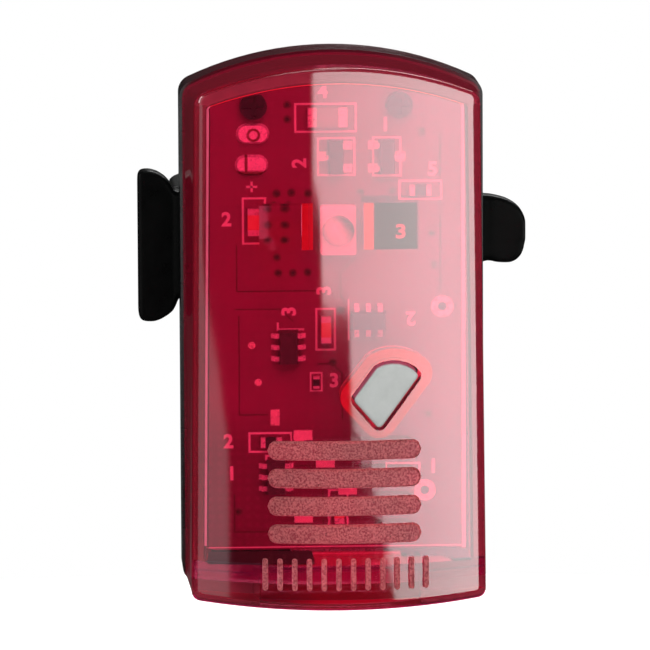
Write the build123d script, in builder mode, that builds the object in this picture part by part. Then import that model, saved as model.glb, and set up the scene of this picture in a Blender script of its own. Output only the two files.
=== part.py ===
"""A bicycle tail light that a silicone strap holds to a seat post.

The seat post stands on the Z axis, +Z is up and the light looks along -Y. Depths are Y values,
so a smaller one lies further forward. All sizes are in millimetres.
"""

from build123d import *
from math import asin, cos, degrees, radians, sin, sqrt, tan
import os

os.makedirs("parts", exist_ok=True)

# Seat post and strap
post_radius = 11.0
strap_height = 8.2
strap_thickness = 2.0
strap_edge = 0.4
flex_angle = 30.0
flex_gap = 0.05
head_reach = 2.95
head_inner_reach = 0.15
head_top_flat = 1.0
head_top_bow = 0.38
head_height = 12.7
head_depth = 2.5
head_neck_height = 9.2
head_corner = 0.8
head_lower_corner = 1.5
head_edge = 0.5
tab_reach = 3.5
tab_low_z = -1.6
tab_bend_radius = 1.6
tab_bend_stand = 2.5
tab_upper_corner = 2.2
tab_lower_corner = 1.5

# Saddle that the post lies in
pad_thickness = 1.2
pad_half_angle = 45.0
pad_groove_count = 4
pad_groove_width = 1.2
pad_groove_depth = 0.35
cradle_web = 1.3
cradle_lip = 0.6
cradle_rim = 0.7
cradle_side_gap = 1.2

# Lug that the strap's head lies against, and the hook that takes its free end
lug_stand = 3.6
lug_depth = 1.4
lug_bar = 1.1
lug_reach = 1.8
lug_root = 0.5
slot_clearance = 0.15
seat_gap = 0.05
hook_stand = 6.9
hook_depth = 2.0
hook_height = 3.4
hook_z = 0.3
hook_lip = 1.2
hook_lip_thickness = 0.9
hook_round = 0.35
hook_wing_height = 5.2
hook_wing_clearance = 0.3
hook_slot_front = 2.1
hook_slot_back = 0.8
hook_slot_clearance = 0.5

# Body, seen from the front
body_half_width = 12.35
top_draft = 0.65
bottom_draft = 0.22
side_bottom_z = -27.25
side_height = 41.2
top_rise = 2.9
bottom_rise = 0.6
corner_radius = 1.2

# Body, seen from the side
case_depth = 5.5
case_floor = 1.6
case_wall = 2.3
case_rim = 0.22
back_chamfer = 0.9
lens_depth = 10.0
draft_depth = 8.0
lens_wall = 1.5
front_bulge = 3.0
front_wall = 1.8
front_chamfer = 0.6
lip_height = 1.2
lip_clearance = 0.2
seal_width = 0.8
seal_depth = 0.8
seal_inset = 0.4
seal_end_gap = 0.3

# Marks raised on the front
mark_height = 0.35
mark_root = 1.5
bar_length = 12.6
bar_width = 1.6
bar_pitch = 2.3
bar_count = 4
bar_middle = (0.35, -17.95)
rib_height = 0.25
rib_size = (0.45, 2.7)
rib_pitch = 1.2
rib_count = 12
rib_middle = (0.4, -24.75)

# Circuit board
board_depth_from_split = 2.5
board_thickness = 1.0
board_clearance = 0.25
board_corner = 0.8
board_bottom_z = -24.1
screw_places = [(-6.5, 12.9), (5.3, 12.9)]
screw_radius = 0.75
screw_head_radius = 1.1
screw_head_height = 0.8
screw_length = 4.5
screw_slot = (0.3, 1.6, 0.4)
boss_radius = 1.4
solder_height = 0.45
oval_joints = [(-6.55, 10.6), (-6.65, 8.0)]
oval_joint_size = (2.7, 1.7)

# Main light source and the two clear blocks beside it
led_middle = (0.3, 2.6)
led_size = (2.9, 4.1)
led_height = 0.9
led_dome_radius = 1.3
led_dome_rise = 0.35
guide_gap = 2.05
guide_size = (4.5, 4.4)
guide_slope = 0.9
guide_clearance = 0.9

# Small parts on the board, each placed by its middle, as X and Z
indicator_places = [(-2.6, -14.5), (-0.8, -16.8), (1.0, -19.1), (-2.6, -21.4)]
indicator_size = (1.5, 0.8)
indicator_height = 0.5
large_resistor = (3.2, 1.6)
small_resistor = (1.7, 0.85)
tiny_resistor = (1.0, 0.5)
resistor_places = [(-0.5, 11.9), (7.0, 5.8), (-5.2, -15.1), (5.5, -17.8), (-1.5, -10.1)]
resistor_sizes = [large_resistor, small_resistor, small_resistor, small_resistor, tiny_resistor]
resistor_turns = [0, 0, 0, 0, 90]
resistor_height = 0.5
capacitor_size = (2.2, 0.8)
capacitor_places = [(-6.6, 3.3), (-0.7, -5.7), (0.3, -20.8)]
capacitor_turn = 90
capacitor_height = 0.8
cap_share = 0.22
package_stand = 0.1
package_height = 1.0
package_draft = 7.0
transistor_places = [(0.15, 8.6), (4.3, 8.6)]
transistor_turns = [0, 180]
transistor_size = (1.3, 2.9)
chip_places = [(-3.75, -7.15), (2.75, -5.0), (-4.8, -18.0)]
chip_turns = [0, 90, 0]
chip_size = (1.6, 2.9)
leg_pitch = 0.95
leg_reach = 0.65
leg_foot = 0.35
leg_width = 0.4
leg_thickness = 0.15
leg_rise = 0.5

# Push button
button_middle = (3.75, -10.1)
button_turn = 53.0
button_back_corner = (-1.8, 2.0)
button_low_corner = (-2.5, -1.2)
button_far_corner = (2.95, -1.2)
button_arc_middle = (2.62, 0.95)
button_arc_start = (1.4, 2.0)
button_stand = 0.25
button_travel = 0.4
button_gap = 0.3
button_corner = 0.35
button_edge = 0.25
collar_wall = 0.8
collar_depth = 1.6
flange_overlap = 0.6
flange_thickness = 0.6
web_thickness = 0.5
web_clearance = 0.15
stem_radius = 1.2
switch_size = 3.6
switch_height = 2.6
switch_frame_thickness = 0.3
plunger_radius = 0.9
plunger_clearance = 0.05
plunger_root = 1.2
plunger_stand = 1.45

# Charging socket
port_x = 0.2
port_half_width = 5.8
port_reach = 4.1
port_clearance = 0.1
usb_size = (7.5, 2.5)
usb_length = 5.5
usb_wall = 0.3
usb_slope = 0.9
usb_mouth_gap = 0.15
usb_tab_offset = 3.0
usb_tab_size = (0.4, 1.1)
usb_tab_z = -22.9
usb_tab_sink = 0.1
tab_joint_size = (1.5, 0.9)
tongue_size = (4.2, 0.6)
tongue_length = 4.0
contact_count = 5
contact_pitch = 0.65
contact_size = (0.3, 0.12)
contact_length = 3.0
port_hole_margin = (0.25, 0.3)

# Rubber flap over the socket
flap_half_width = 4.9
flap_thickness = 0.8
flap_margin = 1.1
flap_clearance = 0.1
flap_plug_height = 1.0
flap_plug_clearance = (0.15, 0.2)
flap_plug_chamfer = 0.45
flap_root_depth = 1.0
flap_root_half_width = 3.0
flap_stem_radius = 0.8
flap_hinge_gap = 0.12

# Battery
battery_size = (18.0, 24.4)
battery_thickness = 3.8
battery_middle_z = -5.6
battery_round = 0.8
foam_thickness = 0.6
foam_margin = 1.5
lead_radius = 0.4
lead_spread = 1.0
lead_bend = 0.8

# Depths that follow
case_back_y = -(post_radius + pad_thickness + cradle_web)
lug_y = case_back_y + lug_stand
tab_bend_y = case_back_y + tab_bend_stand
hook_y = case_back_y + hook_stand
split_y = case_back_y - case_depth
draft_end_y = split_y - draft_depth
edge_y = split_y - lens_depth
front_y = edge_y - front_bulge
floor_y = case_back_y - case_floor
board_back_y = split_y - board_depth_from_split
board_front_y = board_back_y - board_thickness
mark_root_y = front_y + mark_root

# Radii of the arched top and bottom and of the bulged front
top_radius = (body_half_width**2 + top_rise**2) / (2 * top_rise)
top_centre_z = side_bottom_z + side_height + top_rise - top_radius
bottom_radius = (body_half_width**2 + bottom_rise**2) / (2 * bottom_rise)
bottom_centre_z = side_bottom_z - bottom_rise + bottom_radius
bulge_radius = (body_half_width**2 + front_bulge**2) / (2 * front_bulge)
bulge_centre_y = front_y + bulge_radius
body_height = side_height + top_rise + bottom_rise
body_middle_z = side_bottom_z - bottom_rise + body_height / 2


def upright(y):
    """The upright plane at depth y, whose sketches are seen from the front."""
    return Plane.XZ.offset(-y)


def top_z(x, inset=0.0):
    return top_centre_z + sqrt((top_radius - inset) ** 2 - x**2)


def bottom_z(x, inset=0.0):
    return bottom_centre_z - sqrt((bottom_radius - inset) ** 2 - x**2)


def body_outline(y, inset=0.0, draft_share=0.0):
    """The arched outline of the body at depth y, narrowed by its draft and inset from the surface."""
    top_half = body_half_width - draft_share * top_draft - inset
    bottom_half = body_half_width - draft_share * bottom_draft - inset
    top_corner = (top_half, top_z(top_half, inset))
    bottom_corner = (bottom_half, bottom_z(bottom_half, inset))
    with BuildSketch(upright(y), mode=Mode.PRIVATE) as outline:
        with BuildLine():
            Line((-bottom_half, bottom_corner[1]), (-top_half, top_corner[1]))
            ThreePointArc((-top_half, top_corner[1]), (0, top_z(0, inset)), top_corner)
            Line(top_corner, bottom_corner)
            ThreePointArc(bottom_corner, (0, bottom_z(0, inset)), (-bottom_half, bottom_corner[1]))
        make_face()
        if inset < corner_radius:
            fillet(outline.vertices(), corner_radius - inset)
    return outline.sketch


def lens_outline(y, inset=0.0):
    """The body's outline where the lens has drawn in by its draft, which ends before the front."""
    return body_outline(y, inset, min((split_y - y) / draft_depth, 1.0))


def ring(y, outer_inset, inner_inset):
    """The band between two insets of the case's outline."""
    with BuildSketch(upright(y), mode=Mode.PRIVATE) as band:
        add(body_outline(y, outer_inset))
        add(body_outline(y, inner_inset), mode=Mode.SUBTRACT)
    return band.sketch


def button_outline(y, grow=0.0):
    """The quarter-leaf outline of the button at depth y, grown all round."""
    turn = radians(button_turn)
    place = Plane(
        origin=(button_middle[0], y, button_middle[1]),
        x_dir=(cos(turn), 0, sin(turn)),
        z_dir=(0, -1, 0),
    )
    with BuildSketch(place, mode=Mode.PRIVATE) as leaf:
        with BuildLine():
            Polyline(button_arc_start, button_back_corner, button_low_corner, button_far_corner)
            ThreePointArc(button_far_corner, button_arc_middle, button_arc_start)
        make_face()
        fillet(leaf.vertices(), button_corner)
        if grow:
            offset(amount=grow)
    return leaf.sketch


def rectangle(y, middle, size, round_corner=0.0):
    """A rectangle at depth y, placed by its middle as X and Z."""
    with BuildSketch(upright(y), mode=Mode.PRIVATE) as shape:
        with Locations(middle):
            if round_corner:
                RectangleRounded(*size, round_corner)
            else:
                Rectangle(*size)
    return shape.sketch


def on_board(x, z, height=0.0, turn=0.0):
    """A place on the board's front, at a height above it, turned in the board's plane."""
    return Location((x, board_front_y - height, z), (0, turn, 0))


def finish(part, name):
    part.part.label = name
    export_step(part.part, "parts/" + name + ".step")


# Space inside the lens, and the marks raised on its face

with BuildPart() as lens_space:
    loft([lens_outline(split_y, lens_wall), lens_outline(draft_end_y, lens_wall)])
    extrude(lens_outline(draft_end_y, lens_wall), amount=draft_end_y - front_y)
    with Locations((0, bulge_centre_y, body_middle_z)):
        Cylinder(bulge_radius - front_wall, 2 * body_height, mode=Mode.INTERSECT)

bar_places = [
    (bar_middle[0], bar_middle[1] + bar_pitch * (i - (bar_count - 1) / 2)) for i in range(bar_count)
]

with BuildPart() as frosted_bars:
    with BuildSketch(upright(mark_root_y)):
        with Locations(*bar_places):
            SlotOverall(bar_length, bar_width)
    extrude(amount=2 * mark_root)
    with Locations((0, bulge_centre_y, body_middle_z)):
        Cylinder(bulge_radius + mark_height, 2 * body_height, mode=Mode.INTERSECT)

with BuildPart() as rib_row:
    with BuildSketch(upright(mark_root_y)):
        with Locations(rib_middle):
            with GridLocations(rib_pitch, 1, rib_count, 1):
                Rectangle(*rib_size)
    extrude(amount=2 * mark_root)
    with Locations((0, bulge_centre_y, body_middle_z)):
        Cylinder(bulge_radius + rib_height, 2 * body_height, mode=Mode.INTERSECT)

# Light guides: clear blocks behind the front wall, sloped towards the main light source

guide_back_y = board_front_y - guide_clearance
guide_front_y = mark_root_y
guide_low_z = led_middle[1] - guide_size[1] / 2

with BuildPart() as light_guides:
    with BuildSketch(Plane.XY.offset(guide_low_z)):
        for side in (-1, 1):
            inner_x = led_middle[0] + side * guide_gap
            outer_x = inner_x + side * guide_size[0]
            with BuildLine():
                Polyline(
                    (outer_x, guide_back_y),
                    (inner_x + side * guide_slope, guide_back_y),
                    (inner_x, guide_back_y - guide_slope),
                    (inner_x, guide_front_y),
                    (outer_x, guide_front_y),
                    close=True,
                )
            make_face()
    extrude(amount=guide_size[1])

# Clear front shell

collar_y = front_y + front_wall + collar_depth
port_top_z = bottom_z(0, case_wall)

with BuildPart() as lens_cover:
    loft([lens_outline(split_y), lens_outline(draft_end_y)])
    extrude(lens_outline(draft_end_y), amount=draft_end_y - front_y)
    with Locations((0, bulge_centre_y, body_middle_z)):
        Cylinder(bulge_radius, 2 * body_height, mode=Mode.INTERSECT)
    front_face = lens_cover.faces().filter_by(GeomType.CYLINDER).sort_by(Axis.Y)[0]
    chamfer(front_face.edges(), front_chamfer)
    add(frosted_bars.part)
    add(rib_row.part)
    add(lens_space.part, mode=Mode.SUBTRACT)
    add(light_guides.part)
    extrude(button_outline(collar_y, button_gap + collar_wall), amount=collar_y - mark_root_y)
    extrude(button_outline(collar_y, button_gap), amount=collar_y - front_y + front_wall, mode=Mode.SUBTRACT)
    with Locations((port_x, split_y, bottom_z(0))):
        Box(
            2 * (port_half_width + port_clearance),
            2 * (port_reach + port_clearance),
            2 * (lens_wall + bottom_rise),
            mode=Mode.SUBTRACT,
        )

# Black rear case: tray, lip, port block, cradle, lug and hook

flap_low_z = bottom_z(port_x + flap_half_width)
flap_top_z = flap_low_z + flap_thickness
flap_hinge_z = flap_low_z + flap_thickness / 2
usb_middle_y = board_back_y + usb_size[1] / 2
port_hole = (usb_size[0] + 2 * port_hole_margin[0], usb_size[1] + 2 * port_hole_margin[1])
flap_front_y = usb_middle_y - port_hole[1] / 2 - flap_margin
flap_hinge_y = usb_middle_y + port_hole[1] / 2 + flap_margin
flap_root_y = flap_hinge_y + flap_thickness / 2 + flap_hinge_gap
flap_root_back_y = flap_root_y + flap_root_depth
flap_stem_y = (flap_root_y + flap_root_back_y) / 2
recess_top_z = flap_top_z + flap_hinge_gap

pad_outer_radius = post_radius + pad_thickness
cradle_half_width = post_radius - cradle_side_gap
cradle_height = strap_height + 2 * cradle_rim
cradle_tip_y = -pad_outer_radius * cos(radians(pad_half_angle))
cradle_depth = cradle_tip_y - floor_y
strap_outer_radius = post_radius + strap_thickness
strap_middle_radius = post_radius + strap_thickness / 2
lug_front_y = lug_y - lug_depth / 2
lug_back_y = lug_y + lug_depth / 2
lug_end_x = strap_outer_radius + lug_reach
lug_slot_height = head_neck_height - 2 * lug_bar
hook_back_y = hook_y + hook_depth / 2
hook_front_y = hook_y - hook_depth / 2
hook_wing_x = post_radius - hook_wing_clearance
hook_end_x = strap_outer_radius + hook_wing_clearance + hook_lip_thickness

with BuildPart() as port_block:
    extrude(body_outline(split_y), amount=port_reach)
    with Locations((port_x, split_y, port_top_z)):
        Box(
            2 * port_half_width,
            2 * port_reach,
            body_height,
            align=(Align.CENTER, Align.CENTER, Align.MAX),
            mode=Mode.INTERSECT,
        )

with BuildPart() as hook_wing:
    with Locations((hook_wing_x, floor_y, hook_z)):
        Box(
            hook_wing_x - cradle_half_width + 2 * hook_wing_clearance,
            hook_back_y - floor_y,
            hook_wing_height,
            align=(Align.MAX, Align.MIN, Align.CENTER),
        )
    Cylinder(post_radius + hook_wing_clearance, 2 * strap_height, mode=Mode.SUBTRACT)

with BuildSketch(upright(split_y)) as seal_ring:
    add(ring(split_y, seal_inset, seal_inset + seal_width))
    with Locations((port_x, bottom_z(0))):
        Rectangle(2 * (port_half_width + seal_end_gap), 2 * case_wall, mode=Mode.SUBTRACT)

with BuildPart() as rear_case:
    extrude(body_outline(case_back_y, -case_rim), amount=case_depth)
    chamfer(rear_case.faces().sort_by(Axis.Y)[-1].edges(), back_chamfer)
    with Locations((0, floor_y, 0)):
        Box(
            2 * cradle_half_width,
            cradle_depth,
            cradle_height,
            align=(Align.CENTER, Align.MIN, Align.CENTER),
        )
    Cylinder(post_radius + cradle_lip, 2 * cradle_height, mode=Mode.SUBTRACT)
    Cylinder(pad_outer_radius, strap_height, mode=Mode.SUBTRACT)
    with Locations((-lug_end_x, lug_y, 0)):
        Box(
            lug_end_x - cradle_half_width + lug_root,
            lug_depth,
            head_neck_height,
            align=(Align.MIN, Align.CENTER, Align.CENTER),
        )
    with Locations((-strap_middle_radius, lug_y, 0)):
        Box(
            strap_thickness + 2 * slot_clearance,
            2 * lug_depth,
            lug_slot_height,
            mode=Mode.SUBTRACT,
        )
    add(hook_wing.part)
    with Locations((hook_end_x, hook_y, hook_z)):
        Box(
            hook_end_x - hook_wing_x + hook_wing_clearance,
            hook_depth,
            hook_height,
            align=(Align.MAX, Align.CENTER, Align.CENTER),
        )
    with Locations((hook_end_x, hook_back_y, hook_z)):
        Box(
            hook_lip_thickness,
            hook_depth + hook_lip,
            hook_height,
            align=(Align.MAX, Align.MAX, Align.CENTER),
        )
    fillet(rear_case.edges().filter_by(Axis.Z).group_by(Axis.X)[-1], hook_round)
    extrude(body_outline(floor_y, case_wall), amount=case_depth, mode=Mode.SUBTRACT)
    extrude(ring(split_y, lens_wall + lip_clearance, case_wall), amount=lip_height)
    extrude(seal_ring.sketch, amount=-seal_depth, mode=Mode.SUBTRACT)
    add(port_block.part)
    with BuildSketch(upright(floor_y)):
        with Locations(*screw_places):
            Circle(boss_radius)
    extrude(amount=floor_y - board_back_y)
    with BuildSketch(upright(board_back_y)):
        with Locations(*screw_places):
            Circle(screw_radius)
    extrude(amount=-(screw_length - board_thickness), mode=Mode.SUBTRACT)
    with Locations((port_x, usb_middle_y, recess_top_z)):
        Box(*port_hole, 2 * case_wall, mode=Mode.SUBTRACT)
    with Locations((port_x, (flap_front_y + flap_root_back_y) / 2, recess_top_z)):
        Box(
            2 * (flap_half_width + flap_clearance),
            flap_root_back_y - flap_front_y + 2 * flap_clearance,
            2 * case_wall,
            align=(Align.CENTER, Align.CENTER, Align.MAX),
            mode=Mode.SUBTRACT,
        )
    with Locations((port_x, flap_stem_y, recess_top_z)):
        Cylinder(
            flap_stem_radius,
            case_wall,
            align=(Align.CENTER, Align.CENTER, Align.MIN),
            mode=Mode.SUBTRACT,
        )

with BuildPart() as case_seal:
    extrude(seal_ring.sketch, amount=-seal_depth)

# Rubber pad between the cradle and the seat post, grooved to grip it

pad_sector = 2 * pad_half_angle
pad_groove_step = pad_sector / (pad_groove_count + 1)

with BuildPart() as saddle_pad:
    with BuildSketch(Plane.XY.offset(-strap_height / 2)):
        with BuildLine():
            pad_outer = CenterArc((0, 0), pad_outer_radius, 270 - pad_half_angle, pad_sector)
            pad_inner = CenterArc((0, 0), post_radius, 270 - pad_half_angle, pad_sector)
            Line(pad_outer @ 0, pad_inner @ 0)
            Line(pad_outer @ 1, pad_inner @ 1)
        make_face()
        with PolarLocations(
            post_radius,
            pad_groove_count,
            270 - pad_half_angle + pad_groove_step,
            pad_sector - 2 * pad_groove_step,
            endpoint=True,
        ):
            Rectangle(2 * pad_groove_depth, pad_groove_width, mode=Mode.SUBTRACT)
    extrude(amount=strap_height)

# Strap: the band round the post, with the head that lies against the lug

head_back_y = lug_front_y - seat_gap
head_front_y = head_back_y - head_depth
head_x = -(strap_outer_radius + head_reach)
head_inner_x = head_inner_reach - strap_outer_radius
neck_half = head_neck_height / 2
head_half = head_height / 2
flex_x = strap_middle_radius * cos(radians(flex_angle))
flex_y = strap_middle_radius * sin(radians(flex_angle))
flex_radius = strap_thickness / 2
band_end_angle = flex_angle + degrees(asin((flex_radius + flex_gap) / strap_middle_radius))
band_sweep = 180 - band_end_angle
band_slot_height = lug_slot_height - 2 * slot_clearance
slope_start = Vector(head_x + head_top_flat, head_half)
slope_end = Vector(head_inner_x, neck_half)
slope_run = (slope_end - slope_start).normalized()
slope_middle = (slope_start + slope_end) / 2 + Vector(-slope_run.Y, slope_run.X) * head_top_bow


def strap_rims(strap):
    """The edges along the strap's upper and lower faces."""
    levels = strap.edges().group_by(Axis.Z)
    return levels[0] + levels[-1]


with BuildPart() as strap_band:
    with BuildSketch(Plane.XY.offset(-strap_height / 2)):
        with BuildLine():
            outside = CenterArc((0, 0), strap_outer_radius, band_end_angle, band_sweep)
            inside = CenterArc((0, 0), post_radius, band_end_angle, band_sweep)
            Line(outside @ 0, inside @ 0)
            Polyline(
                outside @ 1,
                (-strap_outer_radius, head_back_y),
                (-post_radius, head_back_y),
                inside @ 1,
            )
        make_face()
    extrude(amount=strap_height)
    chamfer(strap_rims(strap_band), strap_edge)
    for side in (-1, 1):
        with Locations((-strap_middle_radius, head_back_y, side * band_slot_height / 2)):
            Box(
                2 * strap_thickness,
                2 * (lug_depth + seat_gap + slot_clearance),
                strap_height,
                align=(Align.CENTER, Align.CENTER, Align.MIN if side > 0 else Align.MAX),
                mode=Mode.SUBTRACT,
            )
    with BuildSketch(upright(head_back_y)) as head:
        with BuildLine():
            ThreePointArc(slope_start, slope_middle, slope_end)
            Polyline(
                slope_end,
                (-post_radius, neck_half),
                (-post_radius, -neck_half),
                (head_inner_x, -neck_half),
                (head_inner_x, -head_half),
                (head_x, -head_half),
                (head_x, head_half),
                slope_start,
            )
        make_face()
        fillet(head.vertices().group_by(Axis.X)[0], head_corner)
        fillet(head.vertices().group_by(Axis.Y)[0].sort_by(Axis.X)[-1], head_lower_corner)
    extrude(amount=head_depth)
    chamfer(strap_band.faces().sort_by(Axis.Y)[0].edges(), head_edge)

# Strap: the free end, with the slot that goes over the hook and the pull tab

bend_middle_x = strap_middle_radius + tab_bend_radius
tab_y = tab_bend_y - tab_bend_radius
tab_end_x = strap_outer_radius + tab_reach
bend_outer_radius = tab_bend_radius + strap_thickness / 2
bend_inner_radius = tab_bend_radius - strap_thickness / 2
flex_round = (
    flex_x - flex_radius * sin(radians(flex_angle)),
    flex_y + flex_radius * cos(radians(flex_angle)),
)

with BuildPart() as strap_tail:
    with BuildSketch(Plane.XY.offset(-strap_height / 2)):
        with BuildLine():
            outside = CenterArc((0, 0), strap_outer_radius, 0, flex_angle)
            inside = CenterArc((0, 0), post_radius, 0, flex_angle)
            ThreePointArc(outside @ 1, flex_round, inside @ 1)
            Line(outside @ 0, (strap_outer_radius, tab_bend_y))
            bend_inner = CenterArc((bend_middle_x, tab_bend_y), bend_inner_radius, 180, 90)
            bend_outer = CenterArc((bend_middle_x, tab_bend_y), bend_outer_radius, 180, 90)
            Polyline(
                bend_inner @ 1,
                (tab_end_x, tab_y + strap_thickness / 2),
                (tab_end_x, tab_y - strap_thickness / 2),
                bend_outer @ 1,
            )
            Line(bend_outer @ 0, inside @ 0)
        make_face()
    extrude(amount=strap_height)
    with Locations((strap_middle_radius, tab_bend_y, tab_low_z)):
        Box(
            3 * tab_reach,
            strap_height,
            strap_height,
            align=(Align.CENTER, Align.MAX, Align.MAX),
            mode=Mode.SUBTRACT,
        )
    tab_corners = strap_tail.edges().filter_by(Axis.Y).group_by(Axis.X)[-1].sort_by(Axis.Z)
    fillet(tab_corners[0], tab_lower_corner)
    tab_corners = strap_tail.edges().filter_by(Axis.Y).group_by(Axis.X)[-1].sort_by(Axis.Z)
    fillet(tab_corners[-1], tab_upper_corner)
    chamfer(strap_rims(strap_tail), strap_edge)
    with Locations((strap_middle_radius, hook_front_y - hook_slot_front, hook_z)):
        Box(
            2 * strap_thickness,
            hook_depth + hook_slot_front + hook_slot_back,
            hook_height + 2 * hook_slot_clearance,
            align=(Align.CENTER, Align.MIN, Align.CENTER),
            mode=Mode.SUBTRACT,
        )

# Circuit board and the screws that hold it to the case

board_inset = lens_wall + board_clearance
board_height = top_z(0) - board_bottom_z
usb_mouth_z = port_top_z + usb_mouth_gap

with BuildPart() as circuit_board:
    with BuildSketch(upright(board_back_y)) as board_shape:
        add(lens_outline(board_front_y, board_inset).moved(Location((0, board_thickness, 0))))
        with Locations((0, board_bottom_z)):
            Rectangle(
                3 * body_half_width,
                board_height,
                align=(Align.CENTER, Align.MIN),
                mode=Mode.INTERSECT,
            )
        fillet(board_shape.vertices(), board_corner)
        with Locations(*screw_places):
            Circle(screw_radius + slot_clearance, mode=Mode.SUBTRACT)
        with Locations(*oval_joints):
            Circle(lead_radius, mode=Mode.SUBTRACT)
        with Locations(
            (port_x - usb_tab_offset, usb_tab_z),
            (port_x + usb_tab_offset, usb_tab_z),
        ):
            Rectangle(
                usb_tab_size[0] + 2 * plunger_clearance,
                usb_tab_size[1] + 2 * plunger_clearance,
                mode=Mode.SUBTRACT,
            )
    extrude(amount=board_thickness)

with BuildPart() as board_screws:
    with BuildSketch(upright(board_front_y)):
        with Locations(*screw_places):
            Circle(screw_head_radius)
    extrude(amount=screw_head_height)
    with BuildSketch(upright(board_front_y)):
        with Locations(*screw_places):
            Circle(screw_radius)
    extrude(amount=-screw_length)
    with BuildSketch(upright(board_front_y - screw_head_height)):
        with Locations(*screw_places):
            Rectangle(screw_slot[0], screw_slot[1])
            Rectangle(screw_slot[1], screw_slot[0])
    extrude(amount=-screw_slot[2], mode=Mode.SUBTRACT)

# Main light source and the indicators behind the frosted bars

with BuildPart() as led_package:
    extrude(rectangle(board_front_y, led_middle, led_size, led_height / 4), amount=led_height)

with BuildPart() as led_dome:
    with Locations((led_middle[0], board_front_y - led_height - led_dome_rise, led_middle[1])):
        Sphere(led_dome_radius)
    with Locations((led_middle[0], board_front_y - led_height, led_middle[1])):
        Box(
            *3 * [4 * led_dome_radius],
            align=(Align.CENTER, Align.MIN, Align.CENTER),
            mode=Mode.SUBTRACT,
        )

with BuildPart() as indicator_leds:
    with Locations(*[on_board(x, z, indicator_height / 2) for x, z in indicator_places]):
        Box(indicator_size[0], indicator_height, indicator_size[1])

# Chip resistors and capacitors, whose metal ends are solids of their own


def chip_bodies(places, turns, sizes, height):
    """The middles of a set of two-ended chips."""
    with BuildPart(mode=Mode.PRIVATE) as bodies:
        for (x, z), turn, size in zip(places, turns, sizes):
            with Locations(on_board(x, z, height / 2, turn)):
                Box(size[0] * (1 - 2 * cap_share), height, size[1])
    return bodies.part


def chip_caps(places, turns, sizes, height):
    """The metal ends of the same chips."""
    with BuildPart(mode=Mode.PRIVATE) as caps:
        for (x, z), turn, size in zip(places, turns, sizes):
            with Locations(on_board(x, z, height / 2, turn)):
                with GridLocations(size[0] * (1 - cap_share), 1, 2, 1):
                    Box(size[0] * cap_share, height, size[1])
    return caps.part


capacitor_turns = [capacitor_turn] * len(capacitor_places)
capacitor_sizes = [capacitor_size] * len(capacitor_places)

with BuildPart() as resistors:
    add(chip_bodies(resistor_places, resistor_turns, resistor_sizes, resistor_height))

with BuildPart() as resistor_caps:
    add(chip_caps(resistor_places, resistor_turns, resistor_sizes, resistor_height))

with BuildPart() as capacitors:
    add(chip_bodies(capacitor_places, capacitor_turns, capacitor_sizes, capacitor_height))

with BuildPart() as capacitor_caps:
    add(chip_caps(capacitor_places, capacitor_turns, capacitor_sizes, capacitor_height))

# Transistors and control chips, with bent legs


def packages(places, turns, size):
    """Moulded bodies with drafted sides, a little off the board."""
    with BuildPart(mode=Mode.PRIVATE) as bodies:
        with BuildSketch(upright(board_front_y - package_stand)):
            for place, turn in zip(places, turns):
                with Locations(Location(place, turn)):
                    Rectangle(*size)
        extrude(amount=package_height, taper=package_draft)
    return bodies.part


def legs(places, turns, size, rows):
    """Bent legs at each side of a package; rows gives their steps along it for each side."""
    draft_in = (leg_rise - package_stand) * tan(radians(package_draft))
    half = size[0] / 2 - draft_in
    spots = [
        Location((x, board_front_y, z), (0, turn, 0))
        * Location((side * half, 0, row * leg_pitch), (0, 0 if side > 0 else 180, 0))
        for (x, z), turn in zip(places, turns)
        for side, side_rows in zip((-1, 1), rows)
        for row in side_rows
    ]
    with BuildPart(mode=Mode.PRIVATE) as bent:
        with Locations(*spots):
            add(leg.part)
    return bent.part


with BuildPart() as leg:
    with BuildSketch(Plane.XY.offset(-leg_width / 2)):
        with BuildLine():
            Polyline(
                (0, -leg_rise),
                (leg_reach - leg_foot + leg_thickness, -leg_rise),
                (leg_reach - leg_foot + leg_thickness, -leg_thickness),
                (leg_reach, -leg_thickness),
                (leg_reach, 0),
                (leg_reach - leg_foot, 0),
                (leg_reach - leg_foot, leg_thickness - leg_rise),
                (0, leg_thickness - leg_rise),
                close=True,
            )
        make_face()
    extrude(amount=leg_width)

transistor_rows = [(0,), (-1, 1)]
chip_rows = [(-1, 0, 1), (-1, 0, 1)]

with BuildPart() as transistors:
    add(packages(transistor_places, transistor_turns, transistor_size))

with BuildPart() as transistor_legs:
    add(legs(transistor_places, transistor_turns, transistor_size, transistor_rows))

with BuildPart() as control_chips:
    add(packages(chip_places, chip_turns, chip_size))

with BuildPart() as control_chip_pins:
    add(legs(chip_places, chip_turns, chip_size, chip_rows))

# Solder: the battery leads' ovals and the lumps over the socket's tabs

with BuildPart() as solder_joints:
    with BuildSketch(upright(board_front_y)):
        with Locations(*oval_joints):
            SlotOverall(*oval_joint_size)
        with Locations(
            (port_x - usb_tab_offset, usb_tab_z),
            (port_x + usb_tab_offset, usb_tab_z),
        ):
            Rectangle(*tab_joint_size)
    extrude(amount=solder_height, taper=3 * package_draft)

# Push button, its web, and the switch behind it

web_back_y = collar_y + web_thickness
flange_y = web_back_y + seat_gap
flange_back_y = flange_y + flange_thickness
switch_front_y = board_front_y - switch_height - switch_frame_thickness
plunger_tip_y = switch_front_y - plunger_stand
stem_end_y = plunger_tip_y - seat_gap

with BuildPart() as button_seal:
    extrude(button_outline(web_back_y, button_gap + collar_wall), amount=web_thickness)
    extrude(button_outline(web_back_y, web_clearance), amount=web_thickness, mode=Mode.SUBTRACT)

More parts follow.
